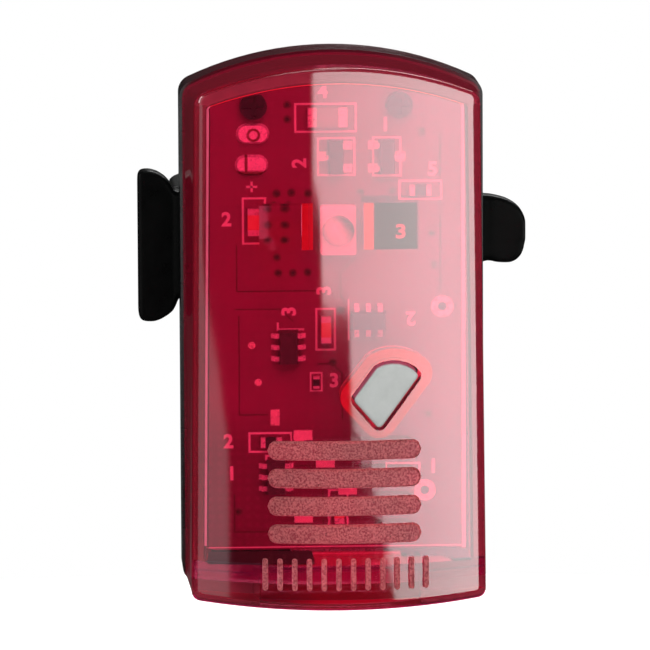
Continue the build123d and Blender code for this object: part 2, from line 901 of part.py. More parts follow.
with BuildPart() as power_button:
    extrude(button_outline(flange_y), amount=flange_y - front_y + front_wall)
    with Locations((0, bulge_centre_y, body_middle_z)):
        Cylinder(bulge_radius + button_stand, 2 * body_height, mode=Mode.INTERSECT)
    cap_face = power_button.faces().filter_by(GeomType.CYLINDER).sort_by(Axis.Y)[0]
    chamfer(cap_face.edges(), button_edge)
    extrude(button_outline(flange_y, flange_overlap), amount=-flange_thickness)
    with BuildSketch(upright(flange_back_y)):
        with Locations(button_middle):
            Circle(stem_radius)
    extrude(amount=flange_back_y - stem_end_y)

with BuildPart() as switch_body:
    extrude(
        rectangle(board_front_y, button_middle, (switch_size, switch_size), plunger_clearance * 6),
        amount=switch_height,
    )
    with BuildSketch(upright(board_front_y - switch_height)):
        with Locations(button_middle):
            Circle(plunger_radius + plunger_clearance)
    extrude(amount=-(plunger_root + 2 * button_travel), mode=Mode.SUBTRACT)

with BuildPart() as switch_frame:
    with BuildSketch(upright(board_front_y - switch_height)):
        with Locations(button_middle):
            RectangleRounded(switch_size, switch_size, switch_frame_thickness)
            Circle(plunger_radius + 3 * plunger_clearance, mode=Mode.SUBTRACT)
    extrude(amount=switch_frame_thickness)

with BuildPart() as switch_plunger:
    with BuildSketch(upright(board_front_y - switch_height + plunger_root)):
        with Locations(button_middle):
            Circle(plunger_radius)
    extrude(amount=plunger_root + switch_frame_thickness + plunger_stand)
    chamfer(switch_plunger.faces().sort_by(Axis.Y)[0].edges(), plunger_radius / 4)

# Charging socket behind the board's lower edge


def socket_outline(z, inset=0.0):
    """The socket's outline, wide on the side of the board, in a level plane."""
    half = usb_size[0] / 2 - inset
    near_y = board_back_y + inset
    far_y = board_back_y + usb_size[1] - inset
    with BuildSketch(Plane.XY.offset(z), mode=Mode.PRIVATE) as shape:
        with BuildLine():
            Polyline(
                (port_x - half, near_y),
                (port_x + half, near_y),
                (port_x + half, far_y - usb_slope),
                (port_x + half - usb_slope, far_y),
                (port_x - half + usb_slope, far_y),
                (port_x - half, far_y - usb_slope),
                close=True,
            )
        make_face()
    return shape.sketch


usb_top_z = usb_mouth_z + usb_length
tongue_top_z = usb_top_z - usb_wall
tongue_front_y = usb_middle_y - tongue_size[1] / 2

with BuildPart() as usb_shell:
    extrude(socket_outline(usb_mouth_z), amount=usb_length)
    extrude(socket_outline(usb_mouth_z, usb_wall), amount=usb_length - usb_wall, mode=Mode.SUBTRACT)
    with BuildSketch(upright(board_back_y + usb_tab_sink)):
        with Locations(
            (port_x - usb_tab_offset, usb_tab_z),
            (port_x + usb_tab_offset, usb_tab_z),
        ):
            Rectangle(*usb_tab_size)
    extrude(amount=board_thickness + usb_tab_sink)

with BuildPart() as usb_tongue:
    with Locations((port_x, usb_middle_y, tongue_top_z)):
        Box(*tongue_size, tongue_length, align=(Align.CENTER, Align.CENTER, Align.MAX))

with BuildPart() as usb_contacts:
    with Locations((port_x, tongue_front_y, tongue_top_z)):
        with GridLocations(contact_pitch, 1, contact_count, 1):
            Box(*contact_size, contact_length, align=(Align.CENTER, Align.MAX, Align.MAX))

# Rubber flap over the socket, and the root that anchors it in the case

flap_plug = (
    port_hole[0] - 2 * flap_plug_clearance[0],
    port_hole[1] - 2 * flap_plug_clearance[1],
)
flap_length = flap_hinge_y - flap_front_y - flap_clearance

with BuildPart() as port_cover:
    with Locations((port_x, usb_middle_y, flap_top_z)):
        Box(*flap_plug, flap_plug_height, align=(Align.CENTER, Align.CENTER, Align.MIN))
    chamfer(port_cover.faces().sort_by(Axis.Z)[-1].edges(), flap_plug_chamfer)
    with Locations((port_x, flap_hinge_y, flap_low_z)):
        Box(
            2 * flap_half_width,
            flap_length,
            flap_thickness,
            align=(Align.CENTER, Align.MAX, Align.MIN),
        )
    with Locations(Location((port_x, flap_hinge_y, flap_hinge_z), (0, 90, 0))):
        Cylinder(flap_thickness / 2, 2 * flap_half_width)

with BuildPart() as port_cover_root:
    with Locations((port_x, flap_stem_y, flap_low_z)):
        Box(
            2 * flap_root_half_width,
            flap_root_depth,
            recess_top_z - flap_low_z,
            align=(Align.CENTER, Align.CENTER, Align.MIN),
        )
    with Locations((port_x, flap_stem_y, recess_top_z)):
        Cylinder(flap_stem_radius, case_wall, align=(Align.CENTER, Align.CENTER, Align.MIN))

# Battery, the foam under it and its two leads to the board

foam_front_y = floor_y - foam_thickness
battery_top_z = battery_middle_z + battery_size[1] / 2
battery_middle = (0, battery_middle_z)
lead_middle_y = foam_front_y - battery_thickness / 2

with BuildPart() as battery_pad:
    extrude(
        rectangle(
            floor_y,
            battery_middle,
            (battery_size[0] - 2 * foam_margin, battery_size[1] - 2 * foam_margin),
        ),
        amount=foam_thickness,
    )

with BuildPart() as battery_cell:
    extrude(rectangle(foam_front_y, battery_middle, battery_size), amount=battery_thickness)
    fillet(battery_cell.edges().filter_by(Axis.Z), battery_round)

with BuildPart() as battery_leads:
    for (lead_x, lead_z), side in zip(oval_joints, (1, -1)):
        lead_y = lead_middle_y + side * lead_spread
        with BuildLine() as lead_path:
            Polyline(
                (lead_x, lead_y, battery_top_z),
                (lead_x, lead_y, lead_z - lead_bend),
                (lead_x, lead_y - lead_bend, lead_z),
                (lead_x, board_front_y, lead_z),
            )
        with BuildSketch(Plane.XY.offset(battery_top_z)):
            with Locations((lead_x, lead_y)):
                Circle(lead_radius)
        sweep(path=lead_path.line, transition=Transition.RIGHT)

finish(lens_cover, "lens_cover")
finish(rear_case, "rear_case")
finish(case_seal, "case_seal")
finish(saddle_pad, "saddle_pad")
finish(strap_band, "strap_band")
finish(strap_tail, "strap_tail")
finish(circuit_board, "circuit_board")
finish(board_screws, "board_screws")
finish(led_package, "led_package")
finish(led_dome, "led_dome")
finish(indicator_leds, "indicator_leds")
finish(resistors, "resistors")
finish(resistor_caps, "resistor_caps")
finish(capacitors, "capacitors")
finish(capacitor_caps, "capacitor_caps")
finish(transistors, "transistors")
finish(transistor_legs, "transistor_legs")
finish(control_chips, "control_chips")
finish(control_chip_pins, "control_chip_pins")
finish(solder_joints, "solder_joints")
finish(button_seal, "button_seal")
finish(power_button, "power_button")
finish(switch_body, "switch_body")
finish(switch_frame, "switch_frame")
finish(switch_plunger, "switch_plunger")
finish(usb_shell, "usb_shell")
finish(usb_tongue, "usb_tongue")
finish(usb_contacts, "usb_contacts")
finish(port_cover, "port_cover")
finish(port_cover_root, "port_cover_root")
finish(battery_pad, "battery_pad")
finish(battery_cell, "battery_cell")
finish(battery_leads, "battery_leads")
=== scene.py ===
"""A bicycle tail light: clear red front, black rear case and silicone strap, built on its CAD frame.

Sizes in the code are millimetres, turned to metres as each mesh is made. X is right, Z is up and
the light looks along -Y, so a smaller Y lies further forward. The seat post stands on the Z axis.
"""

from math import acos, cos, pi, radians, sin, sqrt, tan

import bmesh
import bpy
from bpy.props import FloatProperty, FloatVectorProperty, IntProperty, PointerProperty
from mathutils import Matrix, Vector


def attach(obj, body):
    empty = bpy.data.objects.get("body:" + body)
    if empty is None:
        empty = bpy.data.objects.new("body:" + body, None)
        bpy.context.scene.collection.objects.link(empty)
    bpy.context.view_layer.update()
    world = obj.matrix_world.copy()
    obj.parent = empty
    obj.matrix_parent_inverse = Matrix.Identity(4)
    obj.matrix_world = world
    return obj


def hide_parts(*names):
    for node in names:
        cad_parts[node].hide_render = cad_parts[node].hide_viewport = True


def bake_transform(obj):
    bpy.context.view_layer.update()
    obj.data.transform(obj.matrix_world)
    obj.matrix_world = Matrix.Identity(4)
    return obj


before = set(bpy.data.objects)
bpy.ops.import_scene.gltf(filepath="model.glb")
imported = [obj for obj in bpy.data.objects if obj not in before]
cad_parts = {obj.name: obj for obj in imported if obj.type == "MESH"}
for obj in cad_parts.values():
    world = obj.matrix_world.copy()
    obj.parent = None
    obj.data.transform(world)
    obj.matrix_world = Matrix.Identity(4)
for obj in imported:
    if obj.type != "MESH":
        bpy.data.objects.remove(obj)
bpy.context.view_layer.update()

bl_info = {
    "name": "Bicycle Tail Light",
    "version": (1, 0, 0),
    "blender": (4, 5, 0),
    "location": "3D View > Sidebar > Tail Light",
    "description": "Builds a bicycle tail light with a clear red front on its CAD frame",
    "category": "Add Mesh",
}

MM = 0.001

# Depths of the body, from the seat post forwards
SPLIT_Y = -19.0
RIM_Y = SPLIT_Y - 0.04
DRAFT_END_Y = -27.0
BOARD_Y = -22.5
BULGE_CENTRE_Y = -5.08
BULGE_RADIUS = 26.92

# Outline of the body, seen from the front
HALF_WIDTH = 12.35
TOP_RADIUS = 27.747
TOP_CENTRE_Z = -10.897
BOTTOM_RADIUS = 127.404
BOTTOM_CENTRE_Z = 99.554
TOP_DRAFT = 0.65
BOTTOM_DRAFT = 0.22

# Points along the outline, the foot's share of the corner radius and the top's share of the
# rounding round the front
CORNER_STEPS = 4
SIDE_STEPS = 40
ARCH_STEPS = 26
LOW_CORNER = 0.6
TOP_ROUNDING = 0.4

# Depths of the front's skins behind the bulge, each with its share of the draft
DRAFT_LEVELS = ((RIM_Y, 0.0), (-21.0, 0.25), (-23.0, 0.5), (-25.0, 0.75), (DRAFT_END_Y, 1.0))

# Inside of the front shell
INNER_CORNER = 0.45
INNER_ROUNDING = 0.3

# Runs of faces between the loops of a skin, counted from the split: those that make the sides
# outside, and those that make the edge inside, which has a painted reflection on the left and a painted
# glow along the top
SIDE_RUNS = 8
EDGE_RUNS = (6, 8)

# The front's slots, and the heights where one material gives way to another
CLEAR, INSIDE, WELD, PAINTED_REFLECTION, SIDES, PAINTED_GLOW, BASE = range(7)
FOOT_EDGE_Z = -22.6
TOP_EDGE_Z = 13.55
BASE_Z = -26.8

# Where small things stand on the board, as X and Z, and the gap between it and its print
LED_MIDDLE = (0.3, 2.6)
BUTTON_MIDDLE = (3.75, -10.1)
BUTTON_TURN = 53.0
LEAD_PIN = (-6.5, 10.5)
PRINT_GAP = 0.004
RING_PADS = ((8.75, -3.9), (7.3, -19.25))
POST_RADIUS = 11.0


# Settings that a user would change


class LensSettings(bpy.types.PropertyGroup):
    wall: FloatProperty(
        name="Wall", description="Thickness of the side walls, in millimetres", default=1.35, min=0.6
    )
    front_wall: FloatProperty(
        name="Front wall", description="Thickness of the front, in millimetres", default=1.8, min=0.8
    )
    corner: FloatProperty(
        name="Corner", description="Corner radius of the outline, in millimetres", default=1.2, min=0.4
    )
    rounding: FloatProperty(
        name="Rounding", description="Radius round the front's edge, in millimetres", default=0.7, min=0.1
    )
    tint: FloatVectorProperty(
        name="Tint",
        description="Colour that white light has after one wall",
        subtype="COLOR",
        size=4,
        min=0.0,
        max=1.0,
        default=(0.96, 0.17, 0.33, 1.0),
    )
    gloss: FloatProperty(
        name="Roughness", description="Roughness of the polished shell", default=0.03, min=0.0, max=1.0
    )


class MarkSettings(bpy.types.PropertyGroup):
    bar_count: IntProperty(name="Bars", description="Frosted bars on the front", default=4, min=1)
    bar_pitch: FloatProperty(
        name="Bar pitch", description="Step between bars, in millimetres", default=2.3, min=0.5
    )
    bar_length: FloatProperty(
        name="Bar length", description="Length of a bar, in millimetres", default=12.6, min=1.0
    )
    bar_width: FloatProperty(
        name="Bar width", description="Width of a bar, in millimetres", default=1.6, min=0.2
    )
    bar_height: FloatProperty(
        name="Bar height", description="How far a bar stands out, in millimetres", default=0.35, min=0.05
    )
    rib_count: IntProperty(name="Ribs", description="Short ribs below the bars", default=12, min=1)
    rib_pitch: FloatProperty(
        name="Rib pitch", description="Step between ribs, in millimetres", default=1.2, min=0.3
    )
    frost: FloatProperty(
        name="Frost", description="Roughness of the frosted bars", default=0.27, min=0.15, max=1.0
    )


class BoardSettings(bpy.types.PropertyGroup):
    mask: FloatVectorProperty(
        name="Board colour",
        description="Colour of the board's lacquer",
        subtype="COLOR",
        size=4,
        min=0.0,
        max=1.0,
        default=(0.25, 0.02, 0.13, 1.0),
    )
    print_width: FloatProperty(
        name="Print width", description="Width of a printed line, in millimetres", default=0.17, min=0.05
    )
    print_height: FloatProperty(
        name="Number height", description="Height of the printed numbers, in millimetres", default=1.15
    )


class StrapSettings(bpy.types.PropertyGroup):
    thickness: FloatProperty(
        name="Thickness", description="Thickness of the strap, in millimetres", default=2.0, min=0.5
    )
    height: FloatProperty(
        name="Height", description="Height of the strap, in millimetres", default=8.2, min=2.0
    )
    voxel: FloatProperty(
        name="Detail", description="Step of the remeshed surface, in millimetres", default=0.17, min=0.1
    )
    colour: FloatVectorProperty(
        name="Colour",
        description="Colour of the silicone",
        subtype="COLOR",
        size=4,
        min=0.0,
        max=1.0,
        default=(0.0018, 0.002, 0.002, 1.0),
    )


class StageSettings(bpy.types.PropertyGroup):
    azimuth: FloatProperty(
        name="Azimuth", description="Camera's turn to the right, in degrees", default=-2.7
    )
    elevation: FloatProperty(
        name="Elevation", description="Camera's height above level, in degrees", default=8.0
    )
    roll: FloatProperty(name="Roll", description="Camera's roll, in degrees", default=-0.27)
    distance: FloatProperty(
        name="Distance", description="Camera to aim point, in millimetres", default=600.0, min=100.0
    )
    softbox: FloatProperty(
        name="Softbox", description="Strength of the softbox at the right", default=4.6, min=0.0
    )


# Mesh helpers


def add_object(name, data):
    """An object with this data, linked to the scene."""
    made = bpy.data.objects.new(name, data)
    bpy.context.scene.collection.objects.link(made)
    return made


def new_mesh(name, points, faces, smooth=True):
    """An object at the origin whose mesh has these points, given in millimetres."""
    mesh = bpy.data.meshes.new(name)
    mesh.from_pydata([(x * MM, y * MM, z * MM) for x, y, z in points], [], faces)
    mesh.validate()
    mesh.update()
    if smooth:
        mesh.shade_smooth()
    return add_object(name, mesh)


def sharpen(piece, angle):
    """Smooth shading that breaks at edges steeper than the angle."""
    piece.data.shade_smooth()
    piece.data.set_sharp_from_angle(angle=radians(angle))


def outward(piece):
    """Merges doubled points and turns the faces of a closed mesh outwards."""
    work = bmesh.new()
    work.from_mesh(piece.data)
    bmesh.ops.remove_doubles(work, verts=work.verts, dist=1e-7)
    bmesh.ops.dissolve_degenerate(work, dist=1e-6, edges=work.edges)
    bmesh.ops.recalc_face_normals(work, faces=work.faces)
    work.to_mesh(piece.data)
    work.free()


def join(name, parts):
    """One object from several, whose meshes are put together."""
    work = bmesh.new()
    materials = []
    for part in parts:
        start = len(work.faces)
        work.from_mesh(part.data)
        work.faces.ensure_lookup_table()
        for face in work.faces[start:]:
            face.material_index += len(materials)
        materials.extend(part.data.materials)
        bpy.data.objects.remove(part)
    mesh = bpy.data.meshes.new(name)
    work.to_mesh(mesh)
    work.free()
    for one in materials:
        mesh.materials.append(one)
    return add_object(name, mesh)


def baked(piece):
    """Applies the piece's modifiers to its mesh."""
    graph = bpy.context.evaluated_depsgraph_get()
    mesh = bpy.data.meshes.new_from_object(piece.evaluated_get(graph), depsgraph=graph)
    piece.modifiers.clear()
    old = piece.data
    piece.data = mesh
    bpy.data.meshes.remove(old)
    mesh.name = piece.name
    return piece


def boolean(piece, other, operation):
    """Joins or cuts the piece with another one, which is then removed."""
    step = piece.modifiers.new("cut", "BOOLEAN")
    step.operation = operation
    step.object = other
    step.solver = "EXACT"
    step.material_mode = "TRANSFER"
    baked(piece)
    bpy.data.objects.remove(other)


def remeshed(piece, voxel, smoothing):
    """Melts overlapping shells into one even mesh with soft edges."""
    step = piece.modifiers.new("melt", "REMESH")
    step.mode = "VOXEL"
    step.voxel_size = voxel * MM
    piece.modifiers.new("soften", "SMOOTH").iterations = smoothing
    baked(piece)
    piece.data.shade_smooth()


def prism(name, outline, low, high, place):
    """A closed prism: the outline's points are put at both levels by place(u, v, level)."""
    count = len(outline)
    points = [place(u, v, low) for u, v in outline] + [place(u, v, high) for u, v in outline]
    faces = [(i, (i + 1) % count, count + (i + 1) % count, count + i) for i in range(count)]
    faces.append(tuple(range(count))[::-1])
    faces.append(tuple(range(count, 2 * count)))
    made = new_mesh(name, points, faces, smooth=False)
    outward(made)
    return made


def facing(u, v, level):
    """Places an outline drawn as X and Z at a depth."""
    return (u, level, v)


def lying(u, v, level):
    """Places an outline drawn as X and Y at a height."""
    return (u, v, level)


def rounded(outline, radii, steps=6):
    """An outline of straight runs with each corner rounded by its radius."""
    points = []
    count = len(outline)
    for i in range(count):
        before = Vector(outline[i - 1])
        corner = Vector(outline[i])
        after = Vector(outline[(i + 1) % count])
        back = (before - corner).normalized()
        on = (after - corner).normalized()
        radius = radii[i] if hasattr(radii, "__len__") else radii
        half = acos(max(-1.0, min(1.0, back.dot(on)))) / 2
        if radius <= 0 or half > pi / 2 - 0.02:
            points.append(tuple(corner))
            continue
        reach = min(radius / tan(half), (before - corner).length * 0.49, (after - corner).length * 0.49)
        radius = reach * tan(half)
        middle = corner + (back + on).normalized() * (radius / sin(half))
        first = corner + back * reach - middle
        last = corner + on * reach - middle
        turn = first.angle_signed(last)
        for k in range(steps + 1):
            points.append(tuple(middle + Matrix.Rotation(-turn * k / steps, 2) @ first))
    return points


def grown(outline, amount):
    """The outline moved outwards by an amount, corner by corner."""
    count = len(outline)
    area = sum(
        outline[i - 1][0] * outline[i][1] - outline[i][0] * outline[i - 1][1] for i in range(count)
    )
    side = 1.0 if area > 0 else -1.0
    points = []
    for i in range(count):
        here = Vector(outline[i])
        back = (here - Vector(outline[i - 1])).normalized()
        on = (Vector(outline[(i + 1) % count]) - here).normalized()
        normal = Vector((back.y + on.y, -back.x - on.x)).normalized() * side
        square = max(0.3, normal.dot(Vector((on.y, -on.x)) * side))
        points.append(tuple(here + normal * (amount / square)))
    return points


def rectangle(left, near, right, far):
    """The corners of an upright rectangle, from two opposite ones."""
    return [(left, near), (right, near), (right, far), (left, far)]


def circle(middle, radius, steps):
    """Points round a full circle."""
    turns = [2 * pi * k / steps for k in range(steps)]
    return [(middle[0] + radius * cos(turn), middle[1] + radius * sin(turn)) for turn in turns]


def loop_faces(loops, count):
    """Faces between neighbouring loops of this many points, which lie one after the other."""
    faces = []
    for k in range(loops - 1):
        for i in range(count):
            j = (i + 1) % count
            faces.append((k * count + i, k * count + j, (k + 1) * count + j, (k + 1) * count + i))
    return faces


def skin(name, loops):
    """A closed mesh through loops of equal count, with flat ends."""
    count = len(loops[0])
    last = (len(loops) - 1) * count
    faces = loop_faces(len(loops), count)
    faces.append(tuple(range(count))[::-1])
    faces.append(tuple(range(last, last + count)))
    made = new_mesh(name, [p for loop in loops for p in loop], faces)
    outward(made)
    return made


# Material helpers


def fill(tree, socket, value):
    """Links an output to a socket, or sets the socket's own value; colours are opaque."""
    if isinstance(value, bpy.types.NodeSocket):
        tree.links.new(value, socket)
    elif socket.type == "RGBA":
        socket.default_value = (*value[:3], 1.0)
    else:
        socket.default_value = value


def put(tree, kind, inputs=None, **settings):
    """A node with its settings, and inputs that are values or other nodes' outputs."""
    node = tree.nodes.new(kind)
    for key, value in settings.items():
        setattr(node, key, value)
    for key, value in (inputs or {}).items():
        fill(tree, node.inputs[key], value)
    return node


def reckon(tree, operation, *values, **settings):
    """The result of a Math node."""
    inputs = dict(enumerate(values))
    return put(tree, "ShaderNodeMath", inputs, operation=operation, **settings).outputs[0]


def reckon_vector(tree, operation, *values, scale=None):
    """The result of a Vector Math node."""
    inputs = dict(enumerate(values))
    if scale is not None:
        inputs["Scale"] = scale
    node = put(tree, "ShaderNodeVectorMath", inputs, operation=operation)
    return node.outputs["Value" if operation in ("LENGTH", "DISTANCE", "DOT_PRODUCT") else "Vector"]


def split(tree, vector):
    """The coordinates of a place or a direction."""
    return put(tree, "ShaderNodeSeparateXYZ", {"Vector": vector}).outputs


def noise(tree, where, size, detail, rough):
    """A noise whose lumps are about this many millimetres across."""
    inputs = {"Vector": where, "Scale": 1.0 / (size * MM), "Detail": detail, "Roughness": rough}
    return put(tree, "ShaderNodeTexNoise", inputs).outputs["Fac"]


def spread(tree, value, low, high, start=0.3, end=0.7):
    """The value's range from start to end, spread over low to high."""
    inputs = {"Value": value, "From Min": start, "From Max": end, "To Min": low, "To Max": high}
    return put(tree, "ShaderNodeMapRange", inputs).outputs["Result"]


def mixed(tree, share, first, second):
    """A colour between two, by a share."""
    node = put(tree, "ShaderNodeMix", data_type="RGBA")
    inputs = {socket.name: socket for socket in node.inputs if socket.enabled}
    for key, value in (("Factor", share), ("A", first), ("B", second)):
        fill(tree, inputs[key], value)
    return next(socket for socket in node.outputs if socket.enabled)


def bump(tree, height, depth):
    """Small relief of a depth in millimetres."""
    return put(tree, "ShaderNodeBump", {"Height": height, "Distance": depth * MM}).outputs["Normal"]


def principled(tree, inputs):
    """The shader of most finishes."""
    return put(tree, "ShaderNodeBsdfPrincipled", inputs).outputs["BSDF"]


def emission(tree, colour, strength):
    """A shader that shines by itself."""
    return put(tree, "ShaderNodeEmission", {"Color": colour, "Strength": strength}).outputs["Emission"]


def either(tree, share, first, second):
    """One shader or the other, by a share."""
    return put(tree, "ShaderNodeMixShader", {"Fac": share, 1: first, 2: second}).outputs["Shader"]


def output(tree, shader):
    """Ends a material with its shader."""
    put(tree, "ShaderNodeOutputMaterial", {"Surface": shader})


def new_material(name):
    """An empty material, its tree and its Object coordinates."""
    made = bpy.data.materials.new(name)
    made.use_nodes = True
    tree = made.node_tree
    tree.nodes.clear()
    where = put(tree, "ShaderNodeTexCoord").outputs["Object"]
    return made, tree, where


def surface(name, dark, light, rough, patch, grain, depth, metallic=0.0, **extra):
    """An opaque finish: colour that drifts between two tones, uneven roughness and a fine grain."""
    made, tree, where = new_material(name)
    drift = noise(tree, where, patch, 4.0, 0.6)
    fine = noise(tree, where, grain, 2.0, 0.6)
    inputs = {
        "Base Color": mixed(tree, spread(tree, drift, 0.0, 1.0), dark, light),
        "Roughness": spread(tree, drift, *rough),
        "Metallic": metallic,
        "Normal": bump(tree, fine, depth),
        **extra,
    }
    output(tree, principled(tree, inputs))
    return made


def opened(made):
    """A finish's tree and its Object coordinates."""
    tree = made.node_tree
    return tree, next(node for node in tree.nodes if node.type == "TEX_COORD").outputs["Object"]


def tone_over(made, share, colour):
    """Lays a colour over a finish's own, by a share."""
    tree = made.node_tree
    shader = next(node for node in tree.nodes if node.type == "BSDF_PRINCIPLED")
    base = shader.inputs["Base Color"]
    tree.links.new(mixed(tree, share, base.links[0].from_socket, colour), base)


def clear_red(name, tint, rough, coat=0.0, haze=None, frosted=False):
    """Red moulded plastic that lets the lamps through to the board.

    The haze is a dull colour that clouds it, and its share; a bright haze at the front's foot is a
    painted glow.
    """
    made, tree, where = new_material(name)
    wear = noise(tree, where, 0.35, 4.0, 0.65)
    inputs = {
        "Transmission Weight": 1.0,
        "IOR": 1.58,
        "Roughness": spread(tree, wear, rough, rough * 1.6 + 0.02),
        "Coat Weight": coat,
        "Coat Roughness": 0.04,
        "Coat IOR": 1.5,
    }
    if frosted:
        grain = noise(tree, where, 0.16, 2.0, 0.6)
        pits = spread(tree, grain, 0.0, 1.0, 0.40, 0.60)
        inputs["Normal"] = bump(tree, grain, 0.10)
        inputs["Base Color"] = mixed(tree, pits, (0.62, 0.10, 0.14), (1.0, 0.66, 0.66))
        haze = (mixed(tree, pits, (0.20, 0.03, 0.03), (1.0, 0.27, 0.26)), 0.24)
    else:
        flow = noise(tree, where, 9.0, 2.0, 0.5)
        deep = (tint[0] * 0.985, tint[1] * 0.86, tint[2] * 0.9)
        inputs["Normal"] = bump(tree, noise(tree, where, 6.0, 1.0, 0.4), 0.012)
        inputs["Base Color"] = mixed(tree, spread(tree, flow, 0.0, 1.0), tint, deep)
    plastic = principled(tree, inputs)
    if haze:
        colour = {"Color": haze[0], "Roughness": 0.6 if frosted else 0.0}
        dull = put(tree, "ShaderNodeBsdfDiffuse", colour).outputs["BSDF"]
        plastic = either(tree, haze[1], plastic, dull)
    # A lamp's light crosses the front and the back of a wall, so each one has half the tint
    half = [sqrt(c) for c in tint[:3]]
    through = put(tree, "ShaderNodeBsdfTransparent", {"Color": half}).outputs["BSDF"]
    path = put(tree, "ShaderNodeLightPath").outputs
    bounced = either(tree, path["Is Diffuse Ray"], plastic, through)
    output(tree, either(tree, path["Is Shadow Ray"], bounced, through))
    return made


def paint(nodes, material):
    """Gives CAD nodes a material."""
    for name in nodes:
        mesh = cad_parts[name].data
        mesh.materials.clear()
        mesh.materials.append(material)


# Outline of the body and the front shell


def side_line(share, inset):
    """Both ends of the right side's straight line, as (x, z)."""
    low = HALF_WIDTH - share * BOTTOM_DRAFT - inset
    high = HALF_WIDTH - share * TOP_DRAFT - inset
    return (
        Vector((low, BOTTOM_CENTRE_Z - sqrt((BOTTOM_RADIUS - inset) ** 2 - low**2))),
        Vector((high, TOP_CENTRE_Z + sqrt((TOP_RADIUS - inset) ** 2 - high**2))),
    )


def corner_points(share, inset, radius, top):
    """A corner's rounding on the right, at the top or the foot.

    Its middle, its touch point on the side, its crest, its touch point on the arch, and the
    arch's centre.
    """
    low, high = side_line(share, inset)
    along = (high - low).normalized()
    aside = Vector((along.y, -along.x))
    centre = Vector((0.0, TOP_CENTRE_Z if top else BOTTOM_CENTRE_Z))
    reach = (TOP_RADIUS if top else BOTTOM_RADIUS) - inset - radius
    start = low - aside * radius
    gap = start - centre
    half = along.dot(gap)
    root = sqrt(half**2 - gap.length_squared + reach**2)
    middle = start + along * (-half + root if top else -half - root)
    on_side = middle + aside * radius
    away = (middle - centre).normalized()
    crest = middle + ((on_side - middle).normalized() + away).normalized() * radius
    return middle, on_side, crest, middle + away * radius, centre


def arc(middle, first, last, steps):
    """Points from first to last round a middle, the first left out."""
    start = Vector(first) - middle
    turn = start.angle_signed(Vector(last) - middle)
    return [middle + Matrix.Rotation(-turn * k / steps, 2) @ start for k in range(1, steps + 1)]


def mirrored(points):
    """The points on the other side of the middle, in turned order."""
    return [Vector((-p.x, p.y)) for p in reversed(points)]


def arch_run(middle, crest, touch, centre):
    """From a corner's crest on the right over the arch to the crest on the left."""
    run = [crest] + arc(middle, crest, touch, CORNER_STEPS)
    run += arc(centre, touch, mirrored([touch])[0], ARCH_STEPS)
    return run + mirrored(run[:CORNER_STEPS])


def outline_sides(share, inset, radius):
    """The outline as four runs of points: right going up, top going left, left, bottom."""
    high, high_side, high_crest, *high_arch = corner_points(share, inset, radius, True)
    low, low_side, low_crest, *low_arch = corner_points(share, inset, radius * LOW_CORNER, False)
    right = [low_crest] + arc(low, low_crest, low_side, CORNER_STEPS)
    right += [low_side.lerp(high_side, (k + 1) / SIDE_STEPS) for k in range(SIDE_STEPS)]
    right += arc(high, high_side, high_crest, CORNER_STEPS)
    top = arch_run(high, high_crest, *high_arch)
    bottom = arch_run(low, low_crest, *low_arch)[::-1]
    return right, top, mirrored(right), bottom


def outline_loop(share, inset, radius):
    """The whole outline as one loop, without doubled ends."""
    return [p for run in outline_sides(share, inset, radius) for p in run[:-1]]


def eased_sides(inset, corner, rounding, share):
    """The front's outline drawn in by a share of its rounding, which is smaller along the top."""
    small = rounding * TOP_ROUNDING
    wide = outline_sides(1.0, inset + rounding * share, max(corner - rounding * share, 0.12))
    tight = outline_sides(1.0, inset + small * share, max(corner - small * share, 0.12))
    runs = []
    for side in range(4):
        last = len(wide[side]) - 1
        run = []
        for i in range(last + 1):
            if side == 1:
                top = 0.5 + 0.5 * min(i, last - i, CORNER_STEPS) / CORNER_STEPS
            else:
                near = {0: last - i, 2: i}.get(side, CORNER_STEPS)
                top = 0.5 * (1 - min(near, CORNER_STEPS) / CORNER_STEPS)
            radius = rounding + (small - rounding) * top
            run.append((wide[side][i].lerp(tight[side][i], top), radius))
        runs.append(run)
    return runs


def bulge_y(x, radius=BULGE_RADIUS):
    """Depth of the bulged front at X."""
    return BULGE_CENTRE_Y - sqrt(radius**2 - x**2)


def shell(inset, corner, front_radius, rounding, steps):
    """One skin of the front shell, open at the split: its points, its faces and a loop's count."""
    loops = []
    for depth, share in DRAFT_LEVELS:
        loops.append([(p.x, depth, p.y) for p in outline_loop(share, inset, corner)])
    for k in range(steps + 1):
        turn = pi / 2 * k / steps
        runs = eased_sides(inset, corner, rounding, 1 - cos(turn))
        loops.append([
            (p.x, bulge_y(p.x, front_radius) + radius * (1 - sin(turn)), p.y)
            for run in runs
            for p, radius in run[:-1]
        ])
    count = len(loops[0])
    points = [p for loop in loops for p in loop]
    faces = loop_faces(len(loops), count)
    # The front is a grid between the four runs of the last loop
    far, arch, left, low = [
        [p for p, radius in run] for run in eased_sides(inset, corner, rounding, 1.0)
    ]
    high = arch[::-1]
    near = left[::-1]
    rows = len(far) - 1
    columns = len(low) - 1
    last = (len(loops) - 1) * count
    index = {}
    for i in range(rows + 1):
        index[(columns, i)] = last + i
        index[(0, i)] = last + (rows + columns + rows - i) % count
    for i in range(columns + 1):
        index[(columns - i, rows)] = last + rows + i
        index[(i, 0)] = last + (2 * rows + columns + i) % count
    for i in range(1, columns):
        for j in range(1, rows):
            u = i / columns
            v = j / rows
            p = low[i] * (1 - v) + high[i] * v + near[j] * (1 - u) + far[j] * u
            p -= low[0] * (1 - u) * (1 - v) + low[-1] * u * (1 - v)
            p -= high[0] * (1 - u) * v + high[-1] * u * v
            index[(i, j)] = len(points)
            points.append((p.x, bulge_y(p.x, front_radius), p.y))
    for i in range(columns):
        for j in range(rows):
            faces.append((index[(i, j)], index[(i + 1, j)], index[(i + 1, j + 1)], index[(i, j + 1)]))
    return points, faces, count


